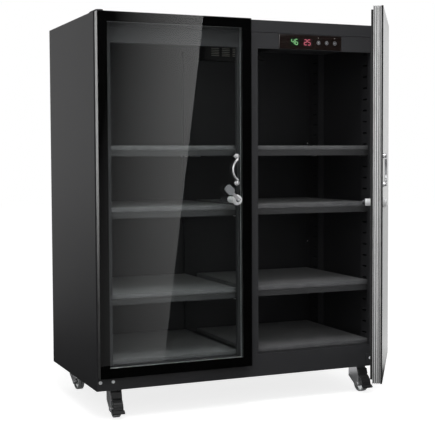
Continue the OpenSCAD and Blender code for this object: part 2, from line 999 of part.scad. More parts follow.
// Barred cover in the vent opening of the back panel
module rear_vent_cover() {
    bar_pitch = vent_h / vent_bars;
    half_w_cover = vent_w / 2 + cover_margin;
    half_h_cover = vent_h / 2 + cover_margin;
    color(plastic)
        difference() {
            union() {
                block(vent_x - half_w_cover, vent_x + half_w_cover, back_y, back_y + cover_proud,
                      vent_z - half_h_cover, vent_z + half_h_cover);
                block(vent_x - vent_w / 2, vent_x + vent_w / 2, inside_y, back_y + sheet_t,
                      vent_z - vent_h / 2, vent_z + vent_h / 2);
            }
            for (i = [0 : vent_bars - 1])
                block(vent_x - vent_w / 2 + cover_proud, vent_x + vent_w / 2 - cover_proud,
                      inside_y - over, back_y + cover_proud + over,
                      vent_z - vent_h / 2 + (i + 0.5) * bar_pitch - vent_bar_h / 2,
                      vent_z - vent_h / 2 + (i + 0.5) * bar_pitch + vent_bar_h / 2);
        }
}

// Low-voltage inlet in the back panel
module power_inlet() {
    color(plastic)
        difference() {
            union() {
                block(inlet_x - inlet_w / 2, inlet_x + inlet_w / 2, back_y, back_y + inlet_bezel,
                      inlet_z - inlet_h / 2, inlet_z + inlet_h / 2);
                block(inlet_x - inlet_body_w / 2, inlet_x + inlet_body_w / 2,
                      inside_y - inlet_depth, back_y + inlet_bezel / 2,
                      inlet_z - inlet_body_h / 2, inlet_z + inlet_body_h / 2);
            }
            block(inlet_x - inlet_hole_w / 2, inlet_x + inlet_hole_w / 2,
                  back_y + inlet_bezel - inlet_hole_d, back_y + inlet_bezel + over,
                  inlet_z - inlet_hole_h / 2, inlet_z + inlet_hole_h / 2);
        }
}

// Pan-head screw along Y whose head stands in front of the plane Y = 0
module screw() {
    rotate([90, 0, 0])
        cylinder(r1 = screw_head_r, r2 = screw_head_r * screw_top_share, h = screw_head_h);
    rod_y(screw_shank_r, 0, 0, screw_shank_l, 0);
}

// Screws of the hinge brackets and of the back panel
module case_screws() {
    color(chrome)
        union() {
            lower_screw_places()
                translate([0, -lower_plate_t, 0])
                    screw();
            top_screw_places()
                translate([0, -bracket_t, 0])
                    screw();
            panel_screw_places()
                translate([0, back_y, 0])
                    mirror([0, 1, 0])
                        screw();
        }
}

// Bracket on the top panel with the pin that reaches down into the door
module top_bracket() {
    union() {
        difference() {
            union() {
                block(pivot_x - bracket_w / 2, pivot_x + bracket_w / 2, pivot_y, front_y + bracket_back,
                      top_z, top_z + bracket_t);
                rod_z(bracket_w / 2, pivot_x, pivot_y, top_z, top_z + bracket_t);
            }
            top_screw_places()
                screw_hole();
        }
        rod_z(hinge_pin_r, pivot_x, pivot_y, door_z1 - pin_reach, top_z + bracket_t);
    }
}

// Bracket on the bottom rail with the pin that reaches up into the door
module lower_bracket() {
    union() {
        difference() {
            block(door_x1 - lower_plate_w, door_x1, front_y - lower_plate_t, front_y,
                  bracket_z1 - lower_plate_drop, bracket_z1);
            lower_screw_places()
                screw_hole();
        }
        block(pivot_x - bracket_nose, pivot_x + bracket_nose, pivot_y, front_y - lower_plate_t / 2,
              bracket_z1 - bracket_t, bracket_z1);
        rod_z(bracket_nose, pivot_x, pivot_y, bracket_z1 - bracket_t, bracket_z1);
        rod_z(hinge_pin_r, pivot_x, pivot_y, bracket_z1 - bracket_t, door_z0 + pin_reach);
    }
}

module hinge_brackets() {
    color(paint)
        for (side = [-1, 1])
            on_side(side) {
                top_bracket();
                lower_bracket();
            }
}

// Outline of one of the four frame members, as a mitred strip along the door's edge
module mitred(part) {
    x0 = door_x0;
    x1 = door_x1;
    z0 = door_z0;
    z1 = door_z1;
    w = frame_w;
    m = mitre_gap;
    points =
        part == "hinge" ? [[x1, z0 + m], [x1, z1 - m], [x1 - w, z1 - w - m], [x1 - w, z0 + w + m]] :
        part == "free" ? [[x0, z0 + m], [x0 + w, z0 + w + m], [x0 + w, z1 - w - m], [x0, z1 - m]] :
        part == "top" ? [[x0 + m, z1], [x0 + w + m, z1 - w], [x1 - w - m, z1 - w], [x1 - m, z1]] :
        [[x0 + m, z0], [x1 - m, z0], [x1 - w - m, z0 + w], [x0 + w + m, z0 + w]];
    translate([0, frame_back_y + over, 0])
        rotate([90, 0, 0])
            linear_extrude(height = frame_d + 2 * over)
                polygon(points);
}

// Ring between two rectangles that are inset from the door's edge
module door_ring(inset0, inset1, y0, y1) {
    difference() {
        block(door_x0 + inset0, door_x1 - inset0, y0, y1, door_z0 + inset0, door_z1 - inset0);
        block(door_x0 + inset1, door_x1 - inset1, y0 - over, y1 + over, door_z0 + inset1, door_z1 - inset1);
    }
}

// Hollow section of the door frame, run around the door, with fine grooves along its edge
module frame_section() {
    difference() {
        door_ring(0, frame_w, frame_front_y, frame_back_y);
        door_ring(frame_wall, frame_w - frame_wall, frame_front_y + frame_wall, frame_back_y - frame_wall);
        for (share = groove_shares)
            door_ring(-over, groove_d, frame_front_y + frame_d * share - groove_w / 2,
                      frame_front_y + frame_d * share + groove_w / 2);
    }
}

// Flanged bush for a hinge pin, pointing down into the door from the plane z
module bush(z) {
    translate([pivot_x, pivot_y, z])
        difference() {
            union() {
                translate([0, 0, -bush_l])
                    cylinder(r = bush_r, h = bush_l + bush_flange_t);
                cylinder(r = bush_flange_r, h = bush_flange_t);
            }
            translate([0, 0, -bush_l - over])
                cylinder(r = hinge_pin_r + fit, h = bush_l + bush_flange_t + 2 * over);
        }
}

// Four mitred members and the two hinge bushes
module door_frame() {
    difference() {
        for (part = ["hinge", "free", "top", "bottom"])
            intersection() {
                frame_section();
                mitred(part);
            }
        rod_z(bush_r + bush_fit, pivot_x, pivot_y, door_z1 - bush_l, door_z1 + over);
        rod_z(bush_r + bush_fit, pivot_x, pivot_y, door_z0 - over, door_z0 + bush_l);
    }
    bush(door_z1 + bush_fit);
    translate([0, 0, door_z0 - bush_fit])
        mirror([0, 0, 1])
            bush(0);
}

// Pane over the whole front of the door, drilled for the lock and the handle
module door_glass() {
    difference() {
        block(door_x0, door_x1, glass_front_y, frame_front_y, door_z0, door_z1);
        rod_y(lock_barrel_r + hole_fit, fitting_x, glass_front_y - over, frame_front_y + over, lock_z);
        for (z = [handle_z - handle_span / 2, handle_z + handle_span / 2])
            rod_y(post_screw_r + hole_fit, fitting_x, glass_front_y - over, frame_front_y + over, z);
    }
}

// Gasket in four strips with a groove along the middle of each
module door_gasket() {
    mid = gasket_inset + gasket_w / 2;
    back_y = frame_back_y + gasket_t;
    difference() {
        door_ring(gasket_inset, gasket_inset + gasket_w, frame_back_y, back_y);
        door_ring(mid - gasket_groove / 2, mid + gasket_groove / 2, back_y - gasket_t / 2, back_y + over);
    }
}

// Post that holds one end of the bail, screwed through the glass
module handle_post(z, inward) {
    eye_y = glass_front_y - bail_offset;
    difference() {
        union() {
            rod_y(post_r, fitting_x, glass_front_y - post_l, glass_front_y, z);
            rod_y(post_base_r, fitting_x, glass_front_y - post_base_t, glass_front_y, z);
            rod_y(post_screw_r, fitting_x, glass_front_y - post_base_t, frame_front_y + post_nut_t, z);
            rod_y(post_nut_r, fitting_x, frame_front_y, frame_front_y + post_nut_t, z);
        }
        if (inward > 0)
            rod_z(bail_pin_r + fit, fitting_x, eye_y, z, z + post_r + over);
        else
            rod_z(bail_pin_r + fit, fitting_x, eye_y, z - post_r - over, z);
    }
}

module handle_posts() {
    handle_post(handle_z - handle_span / 2, 1);
    handle_post(handle_z + handle_span / 2, -1);
}

// Curved bail with a ball and a pin at each end, lying along the glass towards the hinges
module handle_bail() {
    pin_z = bail_chord / 2 + bail_ball_r + bail_shoulder + bail_pin_l;
    translate([fitting_x, glass_front_y - bail_offset, handle_z]) {
        translate([bail_reach - bail_arc_r, 0, 0])
            rotate([90, 0, 0])
                rotate([0, 0, -bail_half_angle])
                    rotate_extrude(angle = 2 * bail_half_angle)
                        translate([bail_arc_r, 0])
                            circle(r = bail_r);
        for (flip = [0, 1])
            mirror([0, 0, flip]) {
                translate([0, 0, bail_chord / 2])
                    sphere(r = bail_ball_r);
                rod_z(bail_pin_r, 0, 0, bail_chord / 2, pin_z);
            }
    }
}

// Head, threaded barrel and nut of the lock
module lock_barrel() {
    head_y = glass_front_y - lock_head_h;
    difference() {
        union() {
            translate([fitting_x, glass_front_y, lock_z])
                rotate([90, 0, 0])
                    cylinder(r1 = lock_head_r, r2 = lock_head_r - lock_boss_h / 2, h = lock_head_h);
            rod_y(lock_boss_r, fitting_x, head_y - lock_boss_h, head_y, lock_z);
            rod_y(lock_barrel_r, fitting_x, head_y, barrel_end_y, lock_z);
            translate([fitting_x, frame_front_y, lock_z])
                rotate([-90, 0, 0])
                    cylinder(r = lock_nut_r, h = lock_nut_t, $fn = lock_nut_sides);
        }
        rod_y(plug_r + fit, fitting_x, head_y - lock_boss_h - over, barrel_end_y + over, lock_z);
    }
}

// Plug through the barrel, with its nut and the cam, which points towards the hinges while the lock is open
module lock_cam() {
    plug_y0 = glass_front_y - lock_head_h - lock_boss_h;
    difference() {
        union() {
            rod_y(plug_r, fitting_x, plug_y0, cam_y0 + cam_t + plug_nut_t, lock_z);
            rod_y(cam_r, fitting_x, cam_y0, cam_y0 + cam_t, lock_z);
            block(fitting_x, fitting_x + cam_length - cam_tip_r, cam_y0, cam_y0 + cam_t,
                  lock_z - cam_w / 2, lock_z + cam_w / 2);
            rod_y(cam_tip_r, fitting_x + cam_length - cam_tip_r, cam_y0, cam_y0 + cam_t, lock_z);
            rod_y(plug_nut_r + over, fitting_x, cam_y0 + cam_t, cam_y0 + cam_t + plug_nut_t, lock_z);
        }
        block(fitting_x - keyway_w / 2, fitting_x + keyway_w / 2, plug_y0 - over, plug_y0 + blade_l + over,
              lock_z - keyway_h / 2, lock_z + keyway_h / 2);
    }
}

// Blade, neck and knuckle of the key, as made for the right side
module key_shank() {
    plug_y0 = glass_front_y - lock_head_h - lock_boss_h;
    knuckle_y = key_hinge_y();
    translate([fitting_x, 0, lock_z]) {
        block(-keyway_w / 2 + key_clear, keyway_w / 2 - key_clear, plug_y0, plug_y0 + blade_l,
              -keyway_h / 2 + key_clear, keyway_h / 2 - key_clear);
        rod_y(neck_r, 0, knuckle_y + knuckle_r + ear_gap, plug_y0, 0);
        rotate([0, key_head_angle, 0])
            translate([0, knuckle_y, 0])
                difference() {
                    union() {
                        rotate([90, 0, 90])
                            translate([0, 0, -knuckle_w / 2])
                                cylinder(r = knuckle_r, h = knuckle_w);
                        block(-knuckle_w / 2, knuckle_w / 2, 0, neck_l - ear_gap,
                              -knuckle_r / 2, knuckle_r / 2);
                    }
                    rotate([90, 0, 90])
                        translate([0, 0, -knuckle_w / 2 - over])
                            cylinder(r = ear_pin_r + fit, h = knuckle_w + 2 * over);
                }
    }
}

// Plane of the key's fold
function key_hinge_y() = glass_front_y - lock_head_h - lock_boss_h - neck_l;

// Folding head of the key: two ears with a pin, a metal link, and a flat rounded grip on its end
module key_grip() {
    ear_in = knuckle_w / 2 + ear_gap;
    ear_out = key_link_w / 2;
    start = knuckle_r + ear_gap;
    translate([fitting_x, key_hinge_y(), lock_z])
        rotate([0, key_head_angle, 0])
            union() {
                for (side = [-1, 1])
                    on_side(side) {
                        rotate([90, 0, 90])
                            translate([0, 0, ear_in])
                                cylinder(r = knuckle_r, h = ear_out - ear_in);
                        block(ear_in, ear_out, -key_link_t / 2, key_link_t / 2, 0, start + key_link_t);
                    }
                rotate([90, 0, 90])
                    translate([0, 0, -ear_in - knuckle_r / 2])
                        cylinder(r = ear_pin_r, h = 2 * ear_in + knuckle_r);
                block(-key_link_w / 2, key_link_w / 2, -key_link_t / 2, key_link_t / 2,
                      start, start + key_link_l + key_link_grip);
                translate([0, key_head_t / 2, start + key_link_l])
                    rotate([90, 0, 0])
                        linear_extrude(height = key_head_t)
                            key_outline();
            }
}

// Outline of the key's grip, with round corners
module key_outline() {
    x = key_head_w / 2 - key_head_corner;
    for (side = [-1, 1])
        for (z = [key_head_corner, key_head_l - key_head_corner])
            translate([side * x, z])
                circle(r = key_head_corner);
    translate([-key_head_w / 2, key_head_corner])
        square([key_head_w, key_head_l - 2 * key_head_corner]);
    translate([-x, 0])
        square([2 * x, key_head_l]);
}

module left_door_frame() {
    color(alloy)
        on_door(-1)
            door_frame();
}

module left_door_glass() {
    color(pane)
        on_door(-1)
            door_glass();
}

module left_door_gasket() {
    color(rubber)
        on_door(-1)
            door_gasket();
}

module left_handle_posts() {
    color(chrome)
        on_door(-1)
            handle_posts();
}

module left_handle_bail() {
    color(chrome)
        on_door(-1)
            handle_bail();
}

module left_lock_barrel() {
    color(chrome)
        on_door(-1)
            lock_barrel();
}

module left_lock_cam() {
    color(chrome)
        on_door(-1)
            lock_cam();
}

module left_key() {
    color(chrome)
        on_door(-1)
            key_shank();
}

module left_key_head() {
    color(alloy)
        on_door(-1)
            key_grip();
}

module right_door_frame() {
    color(alloy)
        on_door(1)
            door_frame();
}

module right_door_glass() {
    color(pane)
        on_door(1)
            door_glass();
}

module right_door_gasket() {
    color(rubber)
        on_door(1)
            door_gasket();
}

module right_handle_posts() {
    color(chrome)
        on_door(1)
            handle_posts();
}

module right_handle_bail() {
    color(chrome)
        on_door(1)
            handle_bail();
}

module right_lock_barrel() {
    color(chrome)
        on_door(1)
            lock_barrel();
}

module right_lock_cam() {
    color(chrome)
        on_door(1)
            lock_cam();
}

// Stems with their plates under the case, their nuts above the base sheet and their rivet heads
module castor_stems() {
    color(chrome)
        for (name = ["fl", "fr", "bl", "br"])
            translate([castor_at(name)[0], castor_at(name)[1], 0])
                union() {
                    rod_z(stem_r, 0, 0, swivel_z0 - stem_rivet_t - gap, base_z + stem_rise);
                    rod_z(stem_plate_r, 0, 0, base_z - stem_plate_t, base_z);
                    rod_z(stem_rivet_r, 0, 0, swivel_z0 - stem_rivet_t - gap, swivel_z0 - gap);
                    rod_z(stem_nut_r, 0, 0, base_z + sheet_t, base_z + sheet_t + stem_nut_t);
                }
}

// Puts its children, made with the swivel axis at the origin and the axle towards -Y, at a castor
module at_castor(name) {
    translate([castor_at(name)[0], castor_at(name)[1], 0])
        rotate([0, 0, castor_at(name)[2]])
            children();
}

// Outline of a fork leg in Y and Z, from the crown past the pedal's pin to the axle
module leg_outline() {
    tip = leg_tip_r * sin(45);
    translate([-castor_trail, wheel_r])
        circle(r = leg_tip_r);
    translate([-castor_trail, pedal_pivot_z])
        circle(r = pedal_boss_r);
    polygon([
        [-castor_trail - leg_tip_r, wheel_r],
        [-castor_trail + tip, wheel_r - tip],
        [crown_front, web_z],
        [crown_front, swivel_z1],
        [-crown_back, swivel_z1],
        [-castor_trail - pedal_boss_r, pedal_pivot_z],
    ]);
}

// Pressed fork: crown with its swivel housing, a web at the front and two legs
module fork_body() {
    half = fork_y + leg_t;
    difference() {
        union() {
            rod_z(swivel_r, 0, 0, swivel_z0, swivel_z1);
            block(-half, half, -crown_back, crown_front, swivel_z1 - leg_t, swivel_z1);
            block(-half, half, crown_front - leg_t, crown_front, web_z, swivel_z1);
            for (side = [-1, 1])
                on_side(side)
                    translate([fork_y, 0, 0])
                        rotate([90, 0, 90])
                            linear_extrude(height = leg_t)
                                leg_outline();
        }
        rod_z(stem_r + fit, 0, 0, 0, castor_h);
        rod_x(axle_r + fit, -half - over, half + over, -castor_trail, wheel_r);
    }
}

// Fork with its axle and the pin of its brake pedal
module castor_fork(name, pin) {
    half = fork_y + leg_t;
    color(chrome)
        at_castor(name)
            union() {
                fork_body();
                rod_x(axle_r, -half - fit, half + fit, -castor_trail, wheel_r);
                for (side = [-1, 1])
                    on_side(side)
                        rod_x(axle_head_r, half + fit, half + fit + axle_head_t, -castor_trail, wheel_r);
                if (pin)
                    rod_x(pedal_pivot_r, -half, half, -castor_trail, pedal_pivot_z);
            }
}

module castor_fork_fl() {
    castor_fork("fl", true);
}

module castor_fork_fr() {
    castor_fork("fr", true);
}

module castor_fork_bl() {
    castor_fork("bl", false);
}

module castor_fork_br() {
    castor_fork("br", false);
}

// Half outline of the wheel, with a rounded tread, a groove around its middle and a dished face
module wheel_outline() {
    half = wheel_w / 2;
    difference() {
        union() {
            translate([axle_r + fit, 0])
                square([wheel_r - tread_round - axle_r - fit, half]);
            translate([axle_r + fit, 0])
                square([wheel_r - axle_r - fit, half - tread_round]);
            translate([wheel_r - tread_round, half - tread_round])
                circle(r = tread_round);
        }
        translate([wheel_r - tread_groove_d, -over])
            square([tread_groove_d + over, tread_groove_w / 2 + over]);
        translate([axle_head_r + over, half - wheel_dish_d])
            square([wheel_dish_r - axle_head_r, wheel_dish_d + over]);
    }
}

module castor_wheel(name) {
    color(clear_wheel)
        at_castor(name)
            translate([0, -castor_trail, wheel_r])
                rotate([0, 90, 0])
                    rotate_extrude() {
                        wheel_outline();
                        mirror([0, 1])
                            wheel_outline();
                    }
}

module castor_wheel_fl() {
    castor_wheel("fl");
}

module castor_wheel_fr() {
    castor_wheel("fr");
}

module castor_wheel_bl() {
    castor_wheel("bl");
}

module castor_wheel_br() {
    castor_wheel("br");
}

// Brake pedal: a shoe that curves around the wheel from its pin, with ribs and a wider toe
module brake_pedal(name) {
    color(plastic)
        at_castor(name)
            difference() {
                union() {
                    across(pedal_w)
                        pedal_outline();
                    across(pedal_toe_w)
                        pedal_toe();
                }
                rod_x(pedal_pivot_r + fit, -pedal_w, pedal_w, -castor_trail, pedal_pivot_z);
            }
}

// Extrudes a side view in Y and Z to a width across the castor
module across(width) {
    translate([-width / 2, 0, 0])
        rotate([90, 0, 90])
            linear_extrude(height = width)
                children();
}

// Side view of the pedal: the shoe, the boss around the pin and the stop above it
module pedal_outline() {
    inner = wheel_r + pedal_clear;
    outer = inner + pedal_t;
    far = 2 * outer;
    neck_z = wheel_r + outer * cos(asin(pedal_top_back / outer)) - pedal_t / 2;
    translate([-castor_trail, wheel_r]) {
        difference() {
            circle(r = outer);
            circle(r = inner);
            polygon([
                [0, 0],
                [-far * cos(pedal_end), far * sin(pedal_end)],
                [-far, -far],
                [far, -far],
                [far, far],
                [0, far],
            ]);
        }
        for (i = [0 : pedal_ribs - 1])
            pedal_rib(90 + (pedal_end - 90) * (i + 0.5) / pedal_ribs, outer);
    }
    translate([-castor_trail, pedal_pivot_z]) {
        circle(r = pedal_boss_r);
        polygon([
            [pedal_top_front, 0],
            [pedal_top_front, pedal_top_h],
            [-pedal_top_back, pedal_top_h],
            [-pedal_top_back - pedal_boss_r, -pedal_boss_gap],
            [-pedal_top_back, neck_z - pedal_pivot_z],
            [0, -pedal_boss_r],
        ]);
    }
}

// Round rib across the shoe, at an angle up from the wheel's trailing side
module pedal_rib(angle, radius) {
    translate([-radius * cos(angle), radius * sin(angle)])
        circle(r = pedal_rib_r);
}

// Side view of the toe, which leaves the shoe's end outwards and down
module pedal_toe() {
    radius = wheel_r + pedal_clear + pedal_t / 2;
    translate([-castor_trail - radius * cos(pedal_end), wheel_r + radius * sin(pedal_end)])
        rotate(pedal_toe_tilt)
            translate([-pedal_toe_l, -pedal_toe_t / 2])
                square([pedal_toe_l, pedal_toe_t]);
}

module brake_pedal_fl() {
    brake_pedal("fl");
}

module brake_pedal_fr() {
    brake_pedal("fr");
}

side_panel_left();
side_panel_right();
top_panel();
back_panel();
base_pan();
inner_floor();
centre_mullion();
shelf_strips();
shelf_clips();
tray_left_top();
tray_left_middle();
tray_left_low();
tray_right_top();
tray_right_middle();
tray_right_low();
foam_mats();
control_fascia();
control_box();
display_panel();
humidity_display();
temperature_display();
control_board();
humidity_sensor();
mode_key();
up_key();
down_key();
drying_unit_case();
drying_unit_core();
drying_unit_shutter();
rear_vent_cover();
power_inlet();
case_screws();
hinge_brackets();
left_door_frame();
left_door_glass();
left_door_gasket();
left_handle_posts();
left_handle_bail();
left_lock_barrel();
left_lock_cam();
left_key();
left_key_head();
right_door_frame();
right_door_glass();
right_door_gasket();
right_handle_posts();
right_handle_bail();
right_lock_barrel();
right_lock_cam();
castor_stems();
castor_fork_fl();
castor_fork_fr();
castor_fork_bl();
castor_fork_br();
castor_wheel_fl();
castor_wheel_fr();
castor_wheel_bl();
castor_wheel_br();
brake_pedal_fl();
brake_pedal_fr();
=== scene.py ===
import json
import math

import bmesh
import bpy
from mathutils import Matrix, Vector, noise

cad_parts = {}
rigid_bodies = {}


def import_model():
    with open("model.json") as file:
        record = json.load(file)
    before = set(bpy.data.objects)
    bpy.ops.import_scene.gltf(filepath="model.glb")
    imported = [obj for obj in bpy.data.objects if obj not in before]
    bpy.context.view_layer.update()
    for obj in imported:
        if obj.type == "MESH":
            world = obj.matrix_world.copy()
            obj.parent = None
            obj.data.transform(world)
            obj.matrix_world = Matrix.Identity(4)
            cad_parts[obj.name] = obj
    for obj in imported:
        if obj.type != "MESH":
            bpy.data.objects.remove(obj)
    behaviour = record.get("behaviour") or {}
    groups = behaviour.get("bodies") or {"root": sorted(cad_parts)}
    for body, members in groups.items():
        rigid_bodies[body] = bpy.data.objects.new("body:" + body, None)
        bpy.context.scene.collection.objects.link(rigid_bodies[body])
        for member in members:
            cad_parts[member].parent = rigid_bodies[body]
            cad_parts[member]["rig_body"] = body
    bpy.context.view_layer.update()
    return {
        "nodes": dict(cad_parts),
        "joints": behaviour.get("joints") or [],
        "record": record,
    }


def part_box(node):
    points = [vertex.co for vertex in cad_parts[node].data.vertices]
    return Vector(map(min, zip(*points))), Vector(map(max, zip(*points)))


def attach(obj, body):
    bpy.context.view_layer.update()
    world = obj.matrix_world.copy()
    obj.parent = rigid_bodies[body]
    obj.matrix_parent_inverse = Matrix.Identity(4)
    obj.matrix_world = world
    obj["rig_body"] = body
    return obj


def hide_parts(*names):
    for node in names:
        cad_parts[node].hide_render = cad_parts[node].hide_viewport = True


# The CAD's frame, and values that all sections use
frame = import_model()
nodes = frame["nodes"]
joints = {joint["name"]: joint for joint in frame["joints"]}
slots = {part["node"]: part["material_slot"] for part in frame["record"]["subparts"]}
MM = 0.001
X, Y, Z = Vector((1, 0, 0)), Vector((0, 1, 0)), Vector((0, 0, 1))
SHARP_ANGLE = math.radians(40)
FLAT_ANGLE = math.radians(0.5)
WELD = 0.001 * MM
TOWARDS_FRONT = Matrix.Rotation(math.pi / 2, 4, "X")
TOWARDS_BACK = Matrix.Rotation(-math.pi / 2, 4, "X")


# Camera, fitted to the photograph
CAMERA_PLACE = (-1.2492, -2.9175, 0.7157)
CAMERA_YAW = math.radians(23.2857)
CAMERA_DOWN = math.radians(3.0073)
CAMERA_ROLL = math.radians(-0.2643)
CAMERA_LENS = 86.30


def make_camera():
    """The camera at the photograph's angle."""
    data = bpy.data.cameras.new("Camera")
    data.lens = CAMERA_LENS
    camera = bpy.data.objects.new("Camera", data)
    bpy.context.scene.collection.objects.link(camera)
    turn = Matrix.Rotation(-CAMERA_YAW, 4, "Z") @ Matrix.Rotation(math.pi / 2 - CAMERA_DOWN, 4, "X")
    camera.matrix_world = Matrix.Translation(CAMERA_PLACE) @ turn @ Matrix.Rotation(CAMERA_ROLL, 4, "Z")
    bpy.context.scene.camera = camera


# Nodes of the materials
def new_shader(name, **constants):
    """A new material and its Principled shader, with these constants on the shader's own sockets."""
    material = bpy.data.materials.new(name)
    material.use_nodes = True
    shader = material.node_tree.nodes["Principled BSDF"]
    for socket, value in constants.items():
        shader.inputs[socket.replace("_", " ")].default_value = value
    return material, shader


def add_node(material, kind, **inputs):
    """A node of this kind in a material, with these values on its inputs."""
    made = material.node_tree.nodes.new(kind)
    for socket, value in inputs.items():
        made.inputs[socket.replace("_", " ")].default_value = value
    return made


def link(material, source, target):
    """Joins an output of a node to an input."""
    material.node_tree.links.new(source, target)


def noise_field(material, scale, detail=2.0, stretch=(1, 1, 1), turn=0.0):
    """Noise over the row frame, in waves per metre, stretched and turned about +Z."""
    place = add_node(material, "ShaderNodeTexCoord")
    mapping = add_node(material, "ShaderNodeMapping", Scale=stretch, Rotation=(0, 0, turn))
    field = add_node(material, "ShaderNodeTexNoise", Scale=scale, Detail=detail)
    link(material, place.outputs["Object"], mapping.inputs["Vector"])
    link(material, mapping.outputs["Vector"], field.inputs["Vector"])
    return field.outputs["Fac"]


def spread(material, field, low, high):
    """The middle of a noise field's range, mapped to low and high."""
    mapped = add_node(material, "ShaderNodeMapRange", From_Min=0.3, From_Max=0.7, To_Min=low, To_Max=high)
    link(material, field, mapped.inputs["Value"])
    return mapped.outputs["Result"]


def tinted(material, field, dark, light):
    """A colour between dark and light by a noise field."""
    mix = add_node(material, "ShaderNodeMix")
    mix.data_type = "RGBA"
    ends = [socket for socket in mix.inputs if socket.type == "RGBA"]
    for socket, colour in zip(ends, (dark, light)):
        socket.default_value = (*colour, 1)
    link(material, spread(material, field, 0, 1), mix.inputs["Factor"])
    return next(socket for socket in mix.outputs if socket.type == "RGBA")


def add_bump(material, shader, field, depth, strength=1.0):
    """Bumps of this depth in metres by a noise field."""
    bump = add_node(material, "ShaderNodeBump", Strength=strength, Distance=depth)
    link(material, field, bump.inputs["Height"])
    link(material, bump.outputs["Normal"], shader.inputs["Normal"])


def grained(name, colour, change, rough, rough_change, grain, depth, cloud=4.0, **constants):
    """A solid surface with a cloudy colour, uneven roughness and a fine grain, in waves per metre."""
    material, shader = new_shader(name, **constants)
    dark = [c * (1 - change) for c in colour]
    light = [c * (1 + change) for c in colour]
    link(material, tinted(material, noise_field(material, cloud), dark, light), shader.inputs["Base Color"])
    unevenness = noise_field(material, grain / 3)
    link(material, spread(material, unevenness, rough - rough_change, rough + rough_change),
         shader.inputs["Roughness"])
    add_bump(material, shader, noise_field(material, grain, detail=3.0), depth)
    return material


def powder_coat(name, colour):
    """Satin powder paint on steel sheet."""
    return grained(name, colour, change=0.05, rough=0.42, rough_change=0.03, grain=900, depth=0.00003)


def brushed_alloy(name, level, stretch, turn=0.0):
    """Anodised aluminium with fine streaks along the way that stretch leaves short, turned about +Z."""
    material, shader = new_shader(name, Metallic=1.0)
    streaks = noise_field(material, 1400, stretch=stretch, turn=-turn)
    dark, light = [level * 0.9] * 3, [level * 1.1] * 3
    link(material, tinted(material, streaks, dark, light), shader.inputs["Base Color"])
    link(material, spread(material, streaks, 0.24, 0.34), shader.inputs["Roughness"])
    add_bump(material, shader, streaks, 0.000002)
    return material


def polished(name, colour, rough, metallic):
    """Polished or plated metal with faint wiping marks."""
    material, shader = new_shader(name, Metallic=metallic)
    wipes = noise_field(material, 60, detail=4.0, stretch=(1, 1, 0.3))
    dark = [c * 0.92 for c in colour]
    link(material, tinted(material, wipes, dark, colour), shader.inputs["Base Color"])
    link(material, spread(material, wipes, rough * 0.7, rough * 1.5), shader.inputs["Roughness"])
    add_bump(material, shader, noise_field(material, 400), 0.00001)
    return material


def pane_glass(name):
    """Float glass that lets the lamps' rays through unbent."""
    material, shader = new_shader(name, Roughness=0.0, Transmission_Weight=1.0, IOR=1.5)
    film = noise_field(material, 9, detail=5.0)
    link(material, tinted(material, film, (0.94, 0.965, 0.955), (0.97, 0.99, 0.985)),
         shader.inputs["Base Color"])
    straight = add_node(material, "ShaderNodeBsdfTransparent", Color=(0.90, 0.93, 0.92, 1))
    path = add_node(material, "ShaderNodeLightPath")
    mix = add_node(material, "ShaderNodeMixShader")
    output = material.node_tree.nodes["Material Output"]
    link(material, path.outputs["Is Shadow Ray"], mix.inputs["Fac"])
    link(material, shader.outputs["BSDF"], mix.inputs[1])
    link(material, straight.outputs["BSDF"], mix.inputs[2])
    link(material, mix.outputs["Shader"], output.inputs["Surface"])
    return material


def foam_skin(name):
    """Charcoal closed-cell foam with a fine skin of cells."""
    material, shader = new_shader(name, Sheen_Weight=0.15, Sheen_Roughness=0.5)
    cloud = noise_field(material, 30, detail=6.0)
    link(material, tinted(material, cloud, (0.070, 0.070, 0.074), (0.110, 0.110, 0.115)),
         shader.inputs["Base Color"])
    link(material, spread(material, cloud, 0.75, 0.9), shader.inputs["Roughness"])
    cells = add_node(material, "ShaderNodeTexVoronoi", Scale=700.0)
    place = add_node(material, "ShaderNodeTexCoord")
    link(material, place.outputs["Object"], cells.inputs["Vector"])
    add_bump(material, shader, cells.outputs["Distance"], 0.0004, 0.7)
    return material


def smoked_gloss(name):
    """Glossy dark plastic with a warm tint and faint scratches in its coat."""
    material, shader = new_shader(name, Coat_Weight=0.6, Coat_Roughness=0.04)
    cloud = noise_field(material, 14, detail=4.0)
    link(material, tinted(material, cloud, (0.010, 0.006, 0.005), (0.016, 0.010, 0.009)),
         shader.inputs["Base Color"])
    link(material, spread(material, cloud, 0.08, 0.14), shader.inputs["Roughness"])
    add_bump(material, shader, noise_field(material, 90), 0.00001)
    return material


def lit_plastic(name, colour, strength):
    """Glowing plastic, a little uneven across its face."""
    material, shader = new_shader(name, Base_Color=(*[c * 0.3 for c in colour], 1), Roughness=0.3)
    cloud = noise_field(material, 500)
    dark = [c * 0.8 for c in colour]
    link(material, tinted(material, cloud, dark, colour), shader.inputs["Emission Color"])
    shader.inputs["Emission Strength"].default_value = strength
    return material


def clear_tyre(name):
    """Clear polyurethane, a little cloudy."""
    material, shader = new_shader(name, Transmission_Weight=0.85, IOR=1.47)
    cloud = noise_field(material, 60, detail=3.0)
    link(material, tinted(material, cloud, (0.70, 0.72, 0.73), (0.86, 0.88, 0.88)),
         shader.inputs["Base Color"])
    link(material, spread(material, cloud, 0.05, 0.2), shader.inputs["Roughness"])
    return material


